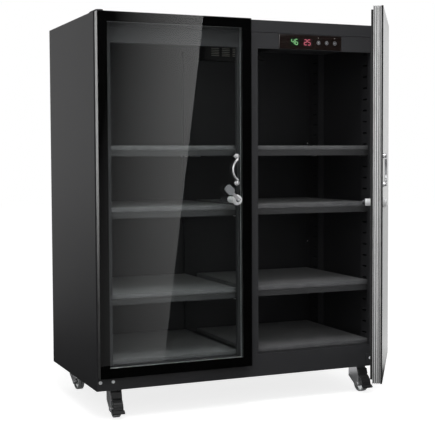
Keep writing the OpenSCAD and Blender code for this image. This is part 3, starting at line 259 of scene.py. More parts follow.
DOOR_TURN = math.radians(-joints["right_door_hinge"]["range_deg"][0])
UPRIGHT, ACROSS = (1, 1, 0.01), (0.01, 1, 1)
MATERIALS = {
    "case_paint": powder_coat("case_paint", (0.034, 0.034, 0.037)),
    "tray_paint": powder_coat("tray_paint", (0.040, 0.040, 0.042)),
    "foam": foam_skin("foam"),
    # Painted shade: the left door's alloy at level 0.36 is a darkened copy of the one anodised aluminium
    "door_alloy": brushed_alloy("door_alloy", 0.36, UPRIGHT),
    "glass": pane_glass("glass"),
    "gasket": grained("gasket", (0.012, 0.012, 0.012), change=0.1, rough=0.6, rough_change=0.08, grain=500,
                      depth=0.00006),
    "chrome": polished("chrome", (0.88, 0.88, 0.90), rough=0.10, metallic=0.6),
    "zinc": polished("zinc", (0.55, 0.55, 0.56), rough=0.3, metallic=0.9),
    "black_plastic": grained("black_plastic", (0.026, 0.026, 0.027), change=0.1, rough=0.42,
                             rough_change=0.06, grain=1400, depth=0.00005),
    "display_gloss": smoked_gloss("display_gloss"),
    "green_digits": grained("green_digits", (0.006, 0.020, 0.008), change=0.2, rough=0.2, rough_change=0.05,
                            grain=800, depth=0.00001),
    "red_digits": grained("red_digits", (0.026, 0.007, 0.009), change=0.2, rough=0.2, rough_change=0.05,
                          grain=800, depth=0.00001),
    "board": grained("board", (0.02, 0.12, 0.05), change=0.2, rough=0.45, rough_change=0.05, grain=300,
                     depth=0.00005),
    "desiccant": grained("desiccant", (0.60, 0.58, 0.52), change=0.1, rough=0.8, rough_change=0.05, grain=600,
                         depth=0.0002),
    "wheel": clear_tyre("wheel"),
    "key_head": grained("key_head", (0.22, 0.23, 0.24), change=0.1, rough=0.35, rough_change=0.05, grain=900,
                        depth=0.00004),
}
# Lit and shaded copies of one anodised aluminium: the left door's level 0.36 is painted shade, the right
# door's level 0.85 painted light
STILE_ALLOY_SHADED_AND_LIT = {"left": MATERIALS["door_alloy"], "right": brushed_alloy("stile_alloy_right_painted_light", 0.85, UPRIGHT)}
RAIL_ALLOY_SHADED_AND_LIT = {
    "left": brushed_alloy("rail_alloy_left_painted_shade", 0.36, ACROSS),
    "right": brushed_alloy("rail_alloy_right_painted_light", 0.85, ACROSS, DOOR_TURN),
}
# Painted shade: the grooves' floors are the same alloy, drawn near-black for the shade in them
GROOVE_PAINTED_SHADE = brushed_alloy("groove_painted_shade", 0.10, UPRIGHT)
# Painted highlight: the inner lips are the same alloy, drawn pale and barely metallic for the light they
# catch
LIP_PAINTED_HIGHLIGHT = polished("lip_painted_highlight", (0.72, 0.72, 0.74), rough=0.45, metallic=0.1)
PRINT = grained("black_print", (0.001, 0.001, 0.001), change=0.15, rough=0.5, rough_change=0.1, grain=400,
                depth=0.00001, Specular_IOR_Level=0.0)
GREEN_LIT = lit_plastic("green_lit", (0.30, 0.72, 0.30), 0.6)
RED_LIT = lit_plastic("red_lit", (0.72, 0.16, 0.22), 0.7)
# Painted highlight: plated steel drawn near-white and barely metallic, for the shine of the lock barrels and
# screw heads
STEEL_PAINTED_HIGHLIGHT = polished("steel_painted_highlight", (0.95, 0.95, 0.96), rough=0.25, metallic=0.05)
# Painted shade: the zinc-plated lock cams, drawn nearly black for the dark inside the cabinet
CAM_STEEL_PAINTED_SHADE = polished("cam_steel_painted_shade", (0.07, 0.07, 0.075), rough=0.35, metallic=0.9)
# Grey for the keys' printed signs, and for the panel's painted highlight line
PRINT_AND_HIGHLIGHT_GREY = grained("grey_print_and_highlight", (0.42, 0.42, 0.44), change=0.1, rough=0.5, rough_change=0.05, grain=900,
               depth=0.00001)
LAMP_LIT = lit_plastic("lamp_lit", (0.75, 0.75, 0.72), 1.0)
TREAD = grained("grey_tread", (0.42, 0.425, 0.43), change=0.12, rough=0.45, rough_change=0.08, grain=700,
                depth=0.0001)


def material_of(name):
    """The material of a CAD node, with painted shade on the lock cams and a painted highlight on the lock
    barrels.
    """
    # Painted shade on the lock cams
    if name in ("left_lock_cam", "right_lock_cam"):
        return CAM_STEEL_PAINTED_SHADE
    # Painted highlight on the lock barrels
    if name in ("left_lock_barrel", "right_lock_barrel"):
        return STEEL_PAINTED_HIGHLIGHT
    return MATERIALS[slots[name]]


def dress_nodes():
    """Every CAD node's own material, also for those that a piece replaces."""
    for name, piece in nodes.items():
        piece.data.materials.clear()
        piece.data.materials.append(material_of(name))


# Pieces
def plain_object(name, bm):
    """An object made of this bmesh, not yet a piece."""
    mesh = bpy.data.meshes.new(name)
    bm.to_mesh(mesh)
    bm.free()
    made = bpy.data.objects.new(name, mesh)
    bpy.context.scene.collection.objects.link(made)
    return made


def new_piece(name, bm, material, body, slot, *replaced):
    """An object made of this bmesh, smooth between its sharp edges, that rides on a body."""
    bmesh.ops.recalc_face_normals(bm, faces=bm.faces)
    piece = plain_object(name, bm)
    mesh = piece.data
    mesh.polygons.foreach_set("use_smooth", [True] * len(mesh.polygons))
    mesh.set_sharp_from_angle(angle=SHARP_ANGLE)
    mesh.materials.append(material)
    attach(piece, body)
    if replaced:
        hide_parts(*replaced)
    return piece


def add_box(bm, low, high):
    """A box between two corners."""
    low, high = Vector(low), Vector(high)
    place = Matrix.Translation((low + high) / 2) @ Matrix.Diagonal((*(high - low), 1))
    bmesh.ops.create_cube(bm, size=1, matrix=place)


def add_lathe(bm, outline, transform, steps=48, closed=False):
    """Turns an outline of (radius, height) points about the transform's Z axis."""
    rings = []
    for i in range(steps):
        angle = 2 * math.pi * i / steps
        rings.append([bm.verts.new(transform @ Vector((r * math.cos(angle), r * math.sin(angle), h)))
                      for r, h in outline])
    count = len(outline)
    for i in range(steps):
        here, after = rings[i], rings[(i + 1) % steps]
        for j in range(count if closed else count - 1):
            k = (j + 1) % count
            bm.faces.new((here[j], after[j], after[k], here[k]))
    if not closed:
        bm.faces.new([ring[0] for ring in rings])
        bm.faces.new([ring[-1] for ring in reversed(rings)])


def add_prism(bm, outline, depth, transform):
    """Extrudes a closed outline of (x, y) points by a depth along the transform's Z axis."""
    front = [bm.verts.new(transform @ Vector((x, y, 0))) for x, y in outline]
    back = [bm.verts.new(transform @ Vector((x, y, depth))) for x, y in outline]
    bm.faces.new(front)
    bm.faces.new(list(reversed(back)))
    for i in range(len(outline)):
        j = (i + 1) % len(outline)
        bm.faces.new((front[i], back[i], back[j], front[j]))


def softened(name, width):
    """A copy of a CAD node whose edges are rounded by this width, which stands for the node."""
    bm = bmesh.new()
    bm.from_mesh(nodes[name].data)
    for layer in list(bm.loops.layers.float_vector):
        bm.loops.layers.float_vector.remove(layer)
    bmesh.ops.remove_doubles(bm, verts=bm.verts, dist=WELD)
    bmesh.ops.dissolve_limit(bm, angle_limit=FLAT_ANGLE, verts=bm.verts, edges=bm.edges)
    piece = new_piece(name + ".edges", bm, material_of(name), nodes[name]["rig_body"], slots[name], name)
    edges = piece.modifiers.new("Edges", "BEVEL")
    edges.width = width
    edges.segments = 2
    edges.limit_method = "ANGLE"
    edges.angle_limit = SHARP_ANGLE
    edges.harden_normals = True
    return piece


# Widths in millimetres of the rounded edges of CAD nodes
SOFTENED = {
    "side_panel_left": 0.5, "side_panel_right": 0.5, "top_panel": 0.5, "base_pan": 0.5, "inner_floor": 0.4,
    "centre_mullion": 0.4, "control_fascia": 0.5, "hinge_brackets": 0.5, "display_panel": 0.6,
    "tray_left_top": 0.5, "tray_left_middle": 0.5, "tray_left_low": 0.5,
    "tray_right_top": 0.5, "tray_right_middle": 0.5, "tray_right_low": 0.5,
    "rear_vent_cover": 0.6, "power_inlet": 0.5, "drying_unit_case": 0.6, "humidity_sensor": 0.5,
    "brake_pedal_fl": 0.6, "brake_pedal_fr": 0.6,
    "castor_fork_fl": 0.5, "castor_fork_fr": 0.5, "castor_fork_bl": 0.5, "castor_fork_br": 0.5,
}


# Foam mats, and the seed of their waves, which Blender would otherwise take from the clock
MAT_T = 13 * MM
MAT_MARGIN = 1 * MM
MAT_ROUND = 2.5 * MM
MAT_STEP = 14 * MM
MAT_WAVE = 0.35 * MM
MAT_NOTCH = 3 * MM
POST_HALF = 13 * MM
FOLD_SIZE = 45 * MM
DENT_SIZE = 20 * MM
MAT_SEED = 7


def mat_solid(low, high, notch):
    """A foam slab with rounded edges, its inner front corner cut back to the point notch, if there is one."""
    bm = bmesh.new()
    outline = [(low[0], low[1]), (high[0], low[1]), (high[0], high[1]), (low[0], high[1])]
    if notch and notch[0] > 0:
        outline[:1] = [(low[0], notch[1]), notch, (notch[0], low[1])]
    elif notch:
        outline[1:2] = [(notch[0], low[1]), notch, (high[0], notch[1])]
    add_prism(bm, outline, high[2] - low[2], Matrix.Translation((0, 0, low[2])))
    bmesh.ops.recalc_face_normals(bm, faces=bm.faces)
    bmesh.ops.bevel(bm, geom=bm.edges, offset=MAT_ROUND, segments=3, profile=0.5, affect="EDGES")
    for axis, start, end in ((X, low[0], high[0]), (Y, low[1], high[1])):
        for i in range(1, int((end - start) / MAT_STEP)):
            geometry = bm.verts[:] + bm.edges[:] + bm.faces[:]
            bmesh.ops.bisect_plane(bm, geom=geometry, plane_co=axis * (start + i * MAT_STEP), plane_no=axis)
    for vert in bm.verts:
        wave = noise.noise_vector(vert.co / FOLD_SIZE)
        inward = 0.5 - 0.5 * noise.noise(vert.co / DENT_SIZE)
        vert.co += Vector((wave.x, wave.y, 0)) * MAT_WAVE * 0.5
        if vert.co.z > (low[2] + high[2]) / 2:
            vert.co.z -= MAT_WAVE * inward
    return bm


def make_mats():
    """A mat on each tray and two on the floor, which together stand for the CAD's mats."""
    noise.seed_set(MAT_SEED)
    post_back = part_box("centre_mullion")[1].y + MAT_NOTCH
    for side, sign in (("left", -1), ("right", 1)):
        for level in ("top", "middle", "low", "floor"):
            low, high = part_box("tray_%s_%s" % (side, "low" if level == "floor" else level))
            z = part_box("inner_floor")[1].z if level == "floor" else high.z
            corner_low = (low.x + MAT_MARGIN, low.y + MAT_MARGIN / 2, z)
            corner_high = (high.x - MAT_MARGIN, high.y - MAT_MARGIN, z + MAT_T)
            notch = (sign * (POST_HALF + MAT_NOTCH), post_back) if level == "floor" else None
            bm = mat_solid(corner_low, corner_high, notch)
            replaced = ["foam_mats"] if (side, level) == ("left", "top") else []
            name = "foam_mat_%s_%s" % (side, level)
            piece = new_piece(name, bm, MATERIALS["foam"], "root", "foam", *replaced)


# Doors, drawn where the closed right door is: the print's width, thickness and inset, and the black film on
# the glass's edge, which is painted shade
BORDER_W = 26.5 * MM
BORDER_T = 0.04 * MM
BORDER_IN = 0.4 * MM
EDGE_IN = 0.15 * MM
EDGE_SHADE_FILM = 0.1 * MM
EDGE_SET = 0.3 * MM


def door_place(side):
    """Moves what is drawn on the closed right door to the closed left door or the open right door."""
    if side == "left":
        return Matrix.Diagonal((-1, 1, 1, 1))
    pivot = Matrix.Translation(Vector(joints["right_door_hinge"]["pos_m"]))
    return pivot @ Matrix.Rotation(DOOR_TURN, 4, "Z") @ pivot.inverted()


def closed_door():
    """Lowest and highest corner of the closed right door's glass."""
    low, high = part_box("left_door_glass")
    return Vector((-high.x, low.y, low.z)), Vector((-low.x, high.y, high.z))


def add_ring(bm, x0, x1, z0, z1, width, y0, y1, transform):
    """A flat rectangular ring, its outer edge given, its bars this wide."""
    outer = [(x0, z0), (x1, z0), (x1, z1), (x0, z1)]
    inner = [(x0 + width, z0 + width), (x1 - width, z0 + width),
             (x1 - width, z1 - width), (x0 + width, z1 - width)]
    verts = {}
    for kind, points in (("outer", outer), ("inner", inner)):
        for y in (y0, y1):
            verts[kind, y] = [bm.verts.new(transform @ Vector((x, y, z))) for x, z in points]
    for i in range(4):
        j = (i + 1) % 4
        for y in (y0, y1):
            outside, inside = verts["outer", y], verts["inner", y]
            bm.faces.new((outside[i], outside[j], inside[j], inside[i]))
        for kind in ("outer", "inner"):
            front, back = verts[kind, y0], verts[kind, y1]
            bm.faces.new((front[i], front[j], back[j], back[i]))


def make_borders():
    """The black print on the back of each door's glass, and a black film on the glass's edge that is painted
    shade.
    """
    low, high = closed_door()
    for side in ("left", "right"):
        bm = bmesh.new()
        y = high.y - BORDER_T
        add_ring(bm, low.x + BORDER_IN, high.x - BORDER_IN, low.z + BORDER_IN, high.z - BORDER_IN,
                 BORDER_W, y - BORDER_T, y, door_place(side))
        # Painted shade: a thin black ring over the glass's edge stands for the dark seen in it
        add_ring(bm, low.x + EDGE_IN, high.x - EDGE_IN, low.z + EDGE_IN, high.z - EDGE_IN,
                 EDGE_SHADE_FILM, low.y + EDGE_SET, y, door_place(side))
        new_piece(side + "_glass_border_and_edge_shade", bm, PRINT, side + "_door", "glass")


# Frame members with grooves at these shares of their depth, and the hinge bushes
FRAME_W = 25 * MM
RIB_SHARES = (0.14, 0.32, 0.59, 0.85)
RIB_GAP = 2.0 * MM
RIB_DEPTH = 1.4 * MM
LIP = 3.5 * MM
LIP_DEPTH = 0.8 * MM
PAINTED_SHADE_AND_HIGHLIGHT_SLOTS = {RIB_DEPTH: 1, FRAME_W: 2}  # material slots of the grooves' floors, which carry painted shade, and of the inner lips, which carry a painted highlight
ROUND = 0.7 * MM
MITRE_GAP = 0.08 * MM
BUSH_R = 7 * MM
BUSH_FLANGE_R = 8.5 * MM
BUSH_FLANGE_T = 0.65 * MM
BUSH_LIFT = 0.05 * MM
BUSH_BORE_R = 4.05 * MM
BUSH_L = 14 * MM


def frame_section(depth):
    """Outline of a frame member as (distance in from the door's edge, distance back from the glass)."""
    points = [(ROUND, 0), (0, ROUND)]
    edge, corner = ROUND * 0.5, ROUND * 0.3
    for share in RIB_SHARES:
        middle = depth * share
        points += [(0, middle - RIB_GAP / 2 - edge), (edge, middle - RIB_GAP / 2),
                   (RIB_DEPTH, middle - RIB_GAP / 3), (RIB_DEPTH, middle + RIB_GAP / 3),
                   (edge, middle + RIB_GAP / 2), (0, middle + RIB_GAP / 2 + edge)]
    points += [(0, depth - ROUND), (ROUND, depth), (FRAME_W - ROUND, depth)]
    points += [(FRAME_W - corner, depth - corner), (FRAME_W, depth - ROUND), (FRAME_W, depth - LIP)]
    points += [(FRAME_W - LIP_DEPTH, depth - LIP - LIP_DEPTH), (FRAME_W - LIP_DEPTH, LIP + LIP_DEPTH)]
    points += [(FRAME_W, LIP), (FRAME_W, ROUND), (FRAME_W - corner, corner), (FRAME_W - ROUND, 0)]
    return points


def add_member(bm, section, start, end, back, place):
    """A mitred member between two corners of a frame, each given as (x, z) and the ways inward from it."""
    way = Vector((end[0] - start[0], 0, end[1] - start[1])).normalized() * MITRE_GAP
    rings = []
    for (x, z, in_x, in_z), shift in ((start, way), (end, -way)):
        rings.append([bm.verts.new(place @ (Vector((x + in_x * u, back + v, z + in_z * u)) + shift))
                      for u, v in section])
    for i in range(len(section)):
        j = (i + 1) % len(section)
        face = bm.faces.new((rings[0][i], rings[0][j], rings[1][j], rings[1][i]))
        if section[i][0] == section[j][0]:
            face.material_index = PAINTED_SHADE_AND_HIGHLIGHT_SLOTS.get(section[i][0], 0)
    bm.faces.new(rings[0])
    bm.faces.new(rings[1])


def make_frame(side):
    """Two rails and two stiles of a door, with grooves along their edges; the grooves' floors carry painted
    shade and the inner lips a painted highlight.
    """
    low, high = closed_door()
    section = frame_section(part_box("left_door_frame")[1].y - high.y)
    corners = [(low.x, low.z, 1, 1), (high.x, low.z, -1, 1),
               (high.x, high.z, -1, -1), (low.x, high.z, 1, -1)]
    rails, stiles = bmesh.new(), bmesh.new()
    for i in range(4):
        bm = rails if i % 2 == 0 else stiles
        add_member(bm, section, corners[i], corners[(i + 1) % 4], high.y, door_place(side))
    pieces = [new_piece(side + "_door_stiles", stiles, STILE_ALLOY_SHADED_AND_LIT[side], side + "_door", "door_alloy",
                        side + "_door_frame"),
              new_piece(side + "_door_rails", rails, RAIL_ALLOY_SHADED_AND_LIT[side], side + "_door", "door_alloy")]
    for piece in pieces:
        piece.data.materials.append(GROOVE_PAINTED_SHADE)
        piece.data.materials.append(LIP_PAINTED_HIGHLIGHT)


def make_bushes(side):
    """Flanged hinge bushes in the two ends of a door's frame."""
    low, high = closed_door()
    x, y, _ = joints["right_door_hinge"]["pos_m"]
    outline = [(BUSH_BORE_R, -BUSH_L), (BUSH_BORE_R, BUSH_FLANGE_T), (BUSH_FLANGE_R, BUSH_FLANGE_T),
               (BUSH_FLANGE_R, BUSH_LIFT), (BUSH_R, BUSH_LIFT), (BUSH_R, -BUSH_L)]
    top = Matrix.Translation((x, y, high.z))
    bottom = Matrix.Translation((x, y, low.z)) @ Matrix.Diagonal((1, 1, -1, 1))
    bm = bmesh.new()
    for end in (top, bottom):
        add_lathe(bm, outline, door_place(side) @ end, closed=True)
    new_piece(side + "_door_bushes", bm, MATERIALS["black_plastic"], side + "_door", "black_plastic")


# Handle posts, with the angles in degrees of the points on their domes
POST_R = 5.5 * MM
POST_L = 9 * MM
POST_DOME = 1.6 * MM
DOME_STEPS = (5, 20, 40, 60, 78)
POST_BASE_R = 7 * MM
POST_BASE_T = 1.6 * MM
POST_BASE_RIM = 0.6
POST_STEP = 0.5 * MM
POST_SCREW_R = 2.4 * MM
POST_NUT_R = 6 * MM
POST_NUT_T = 3 * MM
POST_NUT_EDGE = 0.4 * MM


def make_posts():
    """Handle posts with domed ends, screwed through the glass."""
    low, high = closed_door()
    post_low, post_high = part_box("left_handle_posts")
    x = -(post_low.x + post_high.x) / 2
    glass_t = high.y - low.y
    nut_end = -glass_t - POST_NUT_T
    outline = [(POST_NUT_R - POST_NUT_EDGE, nut_end), (POST_NUT_R, nut_end + POST_NUT_EDGE),
               (POST_NUT_R, -glass_t), (POST_SCREW_R, -glass_t), (POST_SCREW_R, 0), (POST_BASE_R, 0),
               (POST_BASE_R, POST_BASE_T * POST_BASE_RIM), (POST_R + POST_STEP, POST_BASE_T),
               (POST_R, POST_BASE_T)]
    outline += [(POST_R * math.cos(a), POST_L - POST_DOME + POST_DOME * math.sin(a))
                for a in [math.radians(step) for step in DOME_STEPS]]
    for side in ("left", "right"):
        box_low, box_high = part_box(side + "_handle_posts")
        bm = bmesh.new()
        for z in (box_low.z + POST_BASE_R, box_high.z - POST_BASE_R):
            stand = Matrix.Translation((x, low.y, z)) @ TOWARDS_FRONT
            add_lathe(bm, outline, door_place(side) @ stand)
        new_piece(side + "_post_knobs", bm, MATERIALS["chrome"], side + "_door", "chrome",
                  side + "_handle_posts")


# Key: KEY_ROUND is far more than its faces allow, so its edges are rounded as far as they go
KEY_ROUND = 5 * MM
LINK_HALF = 2.0 * MM


def make_key():
    """The key's grip in plastic and its link in metal, split out of the CAD piece's faces."""
    piece = softened("left_key_head", KEY_ROUND)
    piece.data.materials.append(MATERIALS["chrome"])
    low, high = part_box("left_key_head")
    middle = (low.y + high.y) / 2
    for face in piece.data.polygons:
        depth = max(abs(piece.data.vertices[i].co.y - middle) for i in face.vertices)
        if depth < LINK_HALF:
            face.material_index = 1


# Display
DIGIT_H = 15 * MM
DIGIT_W = 8 * MM
DIGIT_STEP = 11.5 * MM
SEGMENT_W = 2.1 * MM
SEGMENT_GAP = 0.25 * MM
SEGMENT_T = 0.2 * MM
SEGMENTS = {"2": "abged", "4": "fgbc", "5": "afgcd", "6": "afgedc"}


def segment_places():
    """Where the seven segments of a digit lie, across and up from its middle, and 1 for an upright one."""
    x, z = DIGIT_W / 2, DIGIT_H / 2
    return {"a": (0, z, 0), "g": (0, 0, 0), "d": (0, -z, 0), "f": (-x, z / 2, 1), "b": (x, z / 2, 1),
            "e": (-x, -z / 2, 1), "c": (x, -z / 2, 1)}


def add_segment(bm, centre, upright, length):
    """A bar with pointed ends, its front facing -Y."""
    half, w = length / 2 - SEGMENT_GAP, SEGMENT_W / 2
    outline = [(-half, 0), (-half + w, -w), (half - w, -w), (half, 0), (half - w, w), (-half + w, w)]
    place = Matrix.Translation(centre) @ TOWARDS_FRONT
    if upright:
        place = place @ Matrix.Rotation(math.pi / 2, 4, "Z")
    add_prism(bm, outline, SEGMENT_T, place)


def make_digits(name, number, node_name, material, slot):
    """A number in seven-segment digits on the front of a display node."""
    low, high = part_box(node_name)
    middle = (low + high) / 2
    bm = bmesh.new()
    for i, digit in enumerate(number):
        x = middle.x + (i - (len(number) - 1) / 2) * DIGIT_STEP
        for segment, (dx, dz, upright) in segment_places().items():
            if segment in SEGMENTS[digit]:
                length = DIGIT_H / 2 if upright else DIGIT_W
                add_segment(bm, Vector((x + dx, low.y, middle.z + dz)), upright, length)
    new_piece(name, bm, material, "root", slot)


# Signs on the keys, as the number of their corners and the angle of the first
RING_R = 5.2 * MM
RING_W = 0.7 * MM
RING_T = 0.12 * MM
SIGN_R = 2.4 * MM
SIGNS = {"mode_key": (4, 90), "up_key": (3, 90), "down_key": (3, -90)}


def make_key_marks():
    """A printed ring and sign on each of the three keys."""
    for name, (corners, turn) in SIGNS.items():
        low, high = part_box(name)
        middle = (low + high) / 2
        front = Matrix.Translation((middle.x, low.y, middle.z)) @ TOWARDS_FRONT
        bm = bmesh.new()
        ring = [(RING_R - RING_W, 0), (RING_R - RING_W, RING_T), (RING_R, RING_T), (RING_R, 0)]
        add_lathe(bm, ring, front, closed=True)
        angles = [math.radians(turn + 360 * i / corners) for i in range(corners)]
        outline = [(SIGN_R * math.cos(a), SIGN_R * math.sin(a)) for a in angles]
        add_prism(bm, outline, RING_T, front)
        new_piece(name + "_mark", bm, PRINT_AND_HIGHLIGHT_GREY, name, "black_plastic")


# Signal lamps of the panel, and a grey line at its left edge that is a painted highlight
LAMP_R = 0.9 * MM
LAMP_RISE = 14 * MM
HIGHLIGHT_LINE_W = 0.5 * MM
HIGHLIGHT_LINE_MARGIN = 1.5 * MM


def make_panel_lamps():
    """Two small signal lamps above the outer keys, and a thin grey line at the panel's left edge, a painted
    highlight of its bevel.
    """
    low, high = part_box("display_panel")
    bm = bmesh.new()
    for name in ("mode_key", "down_key"):
        key_low, key_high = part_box(name)
        middle = (key_low + key_high) / 2
        front = Matrix.Translation((middle.x, low.y, middle.z + LAMP_RISE)) @ TOWARDS_FRONT
        add_lathe(bm, [(LAMP_R, -RING_T), (LAMP_R, RING_T), (LAMP_R * 0.5, RING_T * 3)], front, steps=20)
    new_piece("panel_lamps", bm, LAMP_LIT, "root", "display_gloss")
    # Painted highlight: a grey strip stands for the light caught by the panel's left edge
    bm = bmesh.new()
    x = low.x + HIGHLIGHT_LINE_MARGIN
    add_box(bm, (x, low.y - RING_T, low.z + HIGHLIGHT_LINE_MARGIN), (x + HIGHLIGHT_LINE_W, low.y + RING_T, high.z - HIGHLIGHT_LINE_MARGIN))
    new_piece("panel_edge_highlight", bm, PRINT_AND_HIGHLIGHT_GREY, "root", "display_gloss")


# Screws, with the angles in degrees of the points on their domes and of the turn from one head to the next
HEAD_R = 4.8 * MM
HEAD_H = 2.2 * MM
HEAD_RIM = 0.35
HEAD_TOP = 0.12
HEAD_STEPS = (0, 16, 32, 48, 64, 80)
HEAD_SPIN = 37
RECESS_R = 1.7 * MM
RECESS_W = 0.7 * MM
RECESS_D = 0.6 * MM
RECESS_STAGGER = 0.01


def screw_head():
    """A pan head whose top faces +Z, with a cross recess cut in it."""
    bm = bmesh.new()
    dome = [(HEAD_R * math.cos(a), HEAD_H * HEAD_RIM + HEAD_H * (1 - HEAD_RIM) * math.sin(a))
            for a in [math.radians(step) for step in HEAD_STEPS]]
    add_lathe(bm, [(HEAD_R, 0)] + dome + [(HEAD_R * HEAD_TOP, HEAD_H)], Matrix.Identity(4), steps=32)
    bmesh.ops.recalc_face_normals(bm, faces=bm.faces)
    base = plain_object("screw_head", bm)
    cutters = []
    # The second arm differs a little in height, so that no two cut faces lie in one plane
    arms = ((RECESS_R, RECESS_W / 2, RECESS_D, 2),
            (RECESS_W / 2, RECESS_R, RECESS_D * (1 - RECESS_STAGGER), 2 + RECESS_STAGGER))
    for x, y, depth, top in arms:
        bm = bmesh.new()
        add_box(bm, (-x, -y, HEAD_H - depth), (x, y, HEAD_H * top))
        cutter = plain_object("recess", bm)
        cut = base.modifiers.new("Recess", "BOOLEAN")
        cut.operation = "DIFFERENCE"
        cut.object = cutter
        cutters.append(cutter)
    bpy.context.view_layer.update()
    shaped = bpy.data.meshes.new_from_object(base.evaluated_get(bpy.context.evaluated_depsgraph_get()))
    for used in [base] + cutters:
        bpy.data.objects.remove(used)
    return shaped


def islands(mesh):
    """Lowest and highest corner of each loose part of a mesh."""
    bm = bmesh.new()
    bm.from_mesh(mesh)
    bmesh.ops.remove_doubles(bm, verts=bm.verts, dist=WELD)
    seen, found = set(), []
    for start in bm.verts:
        if start in seen:
            continue
        queue, part = [start], []
        seen.add(start)
        while queue:
            vert = queue.pop()
            part.append(vert.co.copy())
            for edge in vert.link_edges:
                other = edge.other_vert(vert)
                if other not in seen:
                    seen.add(other)
                    queue.append(other)
        low = Vector([min(p[i] for p in part) for i in range(3)])
        high = Vector([max(p[i] for p in part) for i in range(3)])
        found.append((low, high))
    bm.free()
    return found


def make_screws():
    """Screw heads with a cross recess, where the CAD's screws are."""
    head = screw_head()
    back_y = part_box("back_panel")[1].y
    bm = bmesh.new()
    for i, (low, high) in enumerate(islands(nodes["case_screws"].data)):
        middle = (low + high) / 2
        size = high - low
        if size.y < size.z:
            seat = low.y + HEAD_H if middle.y < 0 else back_y
            place = Matrix.Translation((middle.x, seat, middle.z))
            place = place @ (TOWARDS_FRONT if middle.y < 0 else TOWARDS_BACK)
        else:
            place = Matrix.Translation((middle.x, middle.y, high.z - HEAD_H))
        spin = Matrix.Rotation(math.radians(HEAD_SPIN * i), 4, "Z")
        start = len(bm.verts)
        bm.from_mesh(head)
        bm.verts.ensure_lookup_table()
        bmesh.ops.transform(bm, matrix=place @ spin, verts=bm.verts[start:])
    # The heads are drawn in a near-white copy of the steel, a painted highlight
    new_piece("screw_heads", bm, STEEL_PAINTED_HIGHLIGHT, "root", "zinc", "case_screws")


# Castor wheels: radius and half width of each ring, and the points on its rounded corners
WHEEL_BORE_R = 4.1 * MM
CLEAR_R, CLEAR_HALF = 22.4 * MM, 9.4 * MM
HUB_R, HUB_HALF = 9.0 * MM, 9.9 * MM
WHEEL_ROUND = 2 * MM
TREAD_R, TREAD_INNER_R = 25 * MM, 21.6 * MM
TREAD_GAP_HALF, TREAD_HALF = 1.5 * MM, 10 * MM
TREAD_ROUND = 3 * MM
CLEAR_POINTS, TREAD_POINTS, HUB_POINTS = 14, 6, 4


def wheel_profile(outer, half, points):
    """Closed outline of a ring about the axle, its outer corners rounded by as many points."""
    corner = min(WHEEL_ROUND, (outer - WHEEL_BORE_R) / 3)
    steps = [math.radians(90 * i / points) for i in range(points + 1)]
    right = [(outer - corner + corner * math.sin(a), half - corner + corner * math.cos(a)) for a in steps]
    left = [(r, -h) for r, h in reversed(right)]
    return [(WHEEL_BORE_R, half)] + right + left + [(WHEEL_BORE_R, -half)]


def tread_profile(side):
    """Closed outline of one of the two treads of a wheel."""
    corner = TREAD_ROUND
    steps = [math.radians(90 * i / TREAD_POINTS) for i in range(TREAD_POINTS + 1)]
    edge = [(TREAD_R - corner + corner * math.cos(a), side * (TREAD_HALF - corner + corner * math.sin(a)))
            for a in steps]
    start = [(TREAD_INNER_R, side * TREAD_GAP_HALF), (TREAD_R, side * TREAD_GAP_HALF)]
    return start + edge + [(TREAD_INNER_R, side * TREAD_HALF)]


def make_wheels():
    """Each wheel as a clear rounded body, two grey treads and a hub."""
    for corner in ("fl", "fr", "bl", "br"):
        joint = joints["wheel_%s_spin" % corner]
        axis, centre = Vector(joint["axis"]), Vector(joint["pos_m"])
        place = Matrix.Translation(centre) @ Z.rotation_difference(axis).to_matrix().to_4x4()
        body = "wheel_" + corner
        bm = bmesh.new()
        add_lathe(bm, wheel_profile(CLEAR_R, CLEAR_HALF, CLEAR_POINTS), place, closed=True)
        new_piece(body + "_clear", bm, MATERIALS["wheel"], body, "wheel", "castor_wheel_" + corner)
        bm = bmesh.new()
        for side in (-1, 1):
            add_lathe(bm, tread_profile(side), place, closed=True)
        new_piece(body + "_treads", bm, TREAD, body, "wheel")
        bm = bmesh.new()
        add_lathe(bm, wheel_profile(HUB_R, HUB_HALF, HUB_POINTS), place, closed=True)
        new_piece(body + "_hub", bm, MATERIALS["zinc"], body, "wheel")


# Floor: its colour to diffuse light, its lift for the eye and its share of the room's brightness for mirrors
FLOOR_R = 12.0
FLOOR_GREY = 0.5
FLOOR_LIFT = 0.8
FLOOR_MIRRORED = 0.75
# Room: the plain light on the object, and the brightness that mirrors see, up to its pale side
ROOM_LIGHT = 0.45
WHITE_SIDE = (0.53, 0.85, 0.0)
ROOM_STOPS = ((0.0, 0.015), (0.50, 0.08), (0.64, 0.58), (0.82, 0.80), (1.0, 0.66))
# Slanted card: its place, its left edge, the foot and head of its right edge as (x, z), its brightness from
# left to right, and the share of that at its foot
CARD_Y = -1.0
CARD_LEFT = -0.32
CARD_FOOT = (0.004, 0.0)
CARD_HEAD = (0.166, 1.25)
CARD_LEVELS = (0.03, 2.4)
CARD_LOW_SHARE = 0.3
# Upright cards as brightness, two ends of the foot on the floor plan, and lowest and highest edge
UPRIGHT_CARDS = {
    "softbox": (2.2, (-2.4, -3.0), (-2.4, -1.2), 0.5, 2.4),
    "front_card": (2.2, (-3.0, -4.0), (-0.9, -4.0), 0.1, 2.0),
}
# Lamps as place, target, width, height and power in watts
LAMPS = {
    "Key": ((-0.4, -1.55, 3.2), (0, -0.1, 0.6), 1.8, 1.2, 45),
    "Fill": ((-1.9, -3.7, 2.1), (0, 0, 0.6), 2.2, 1.6, 12),
}


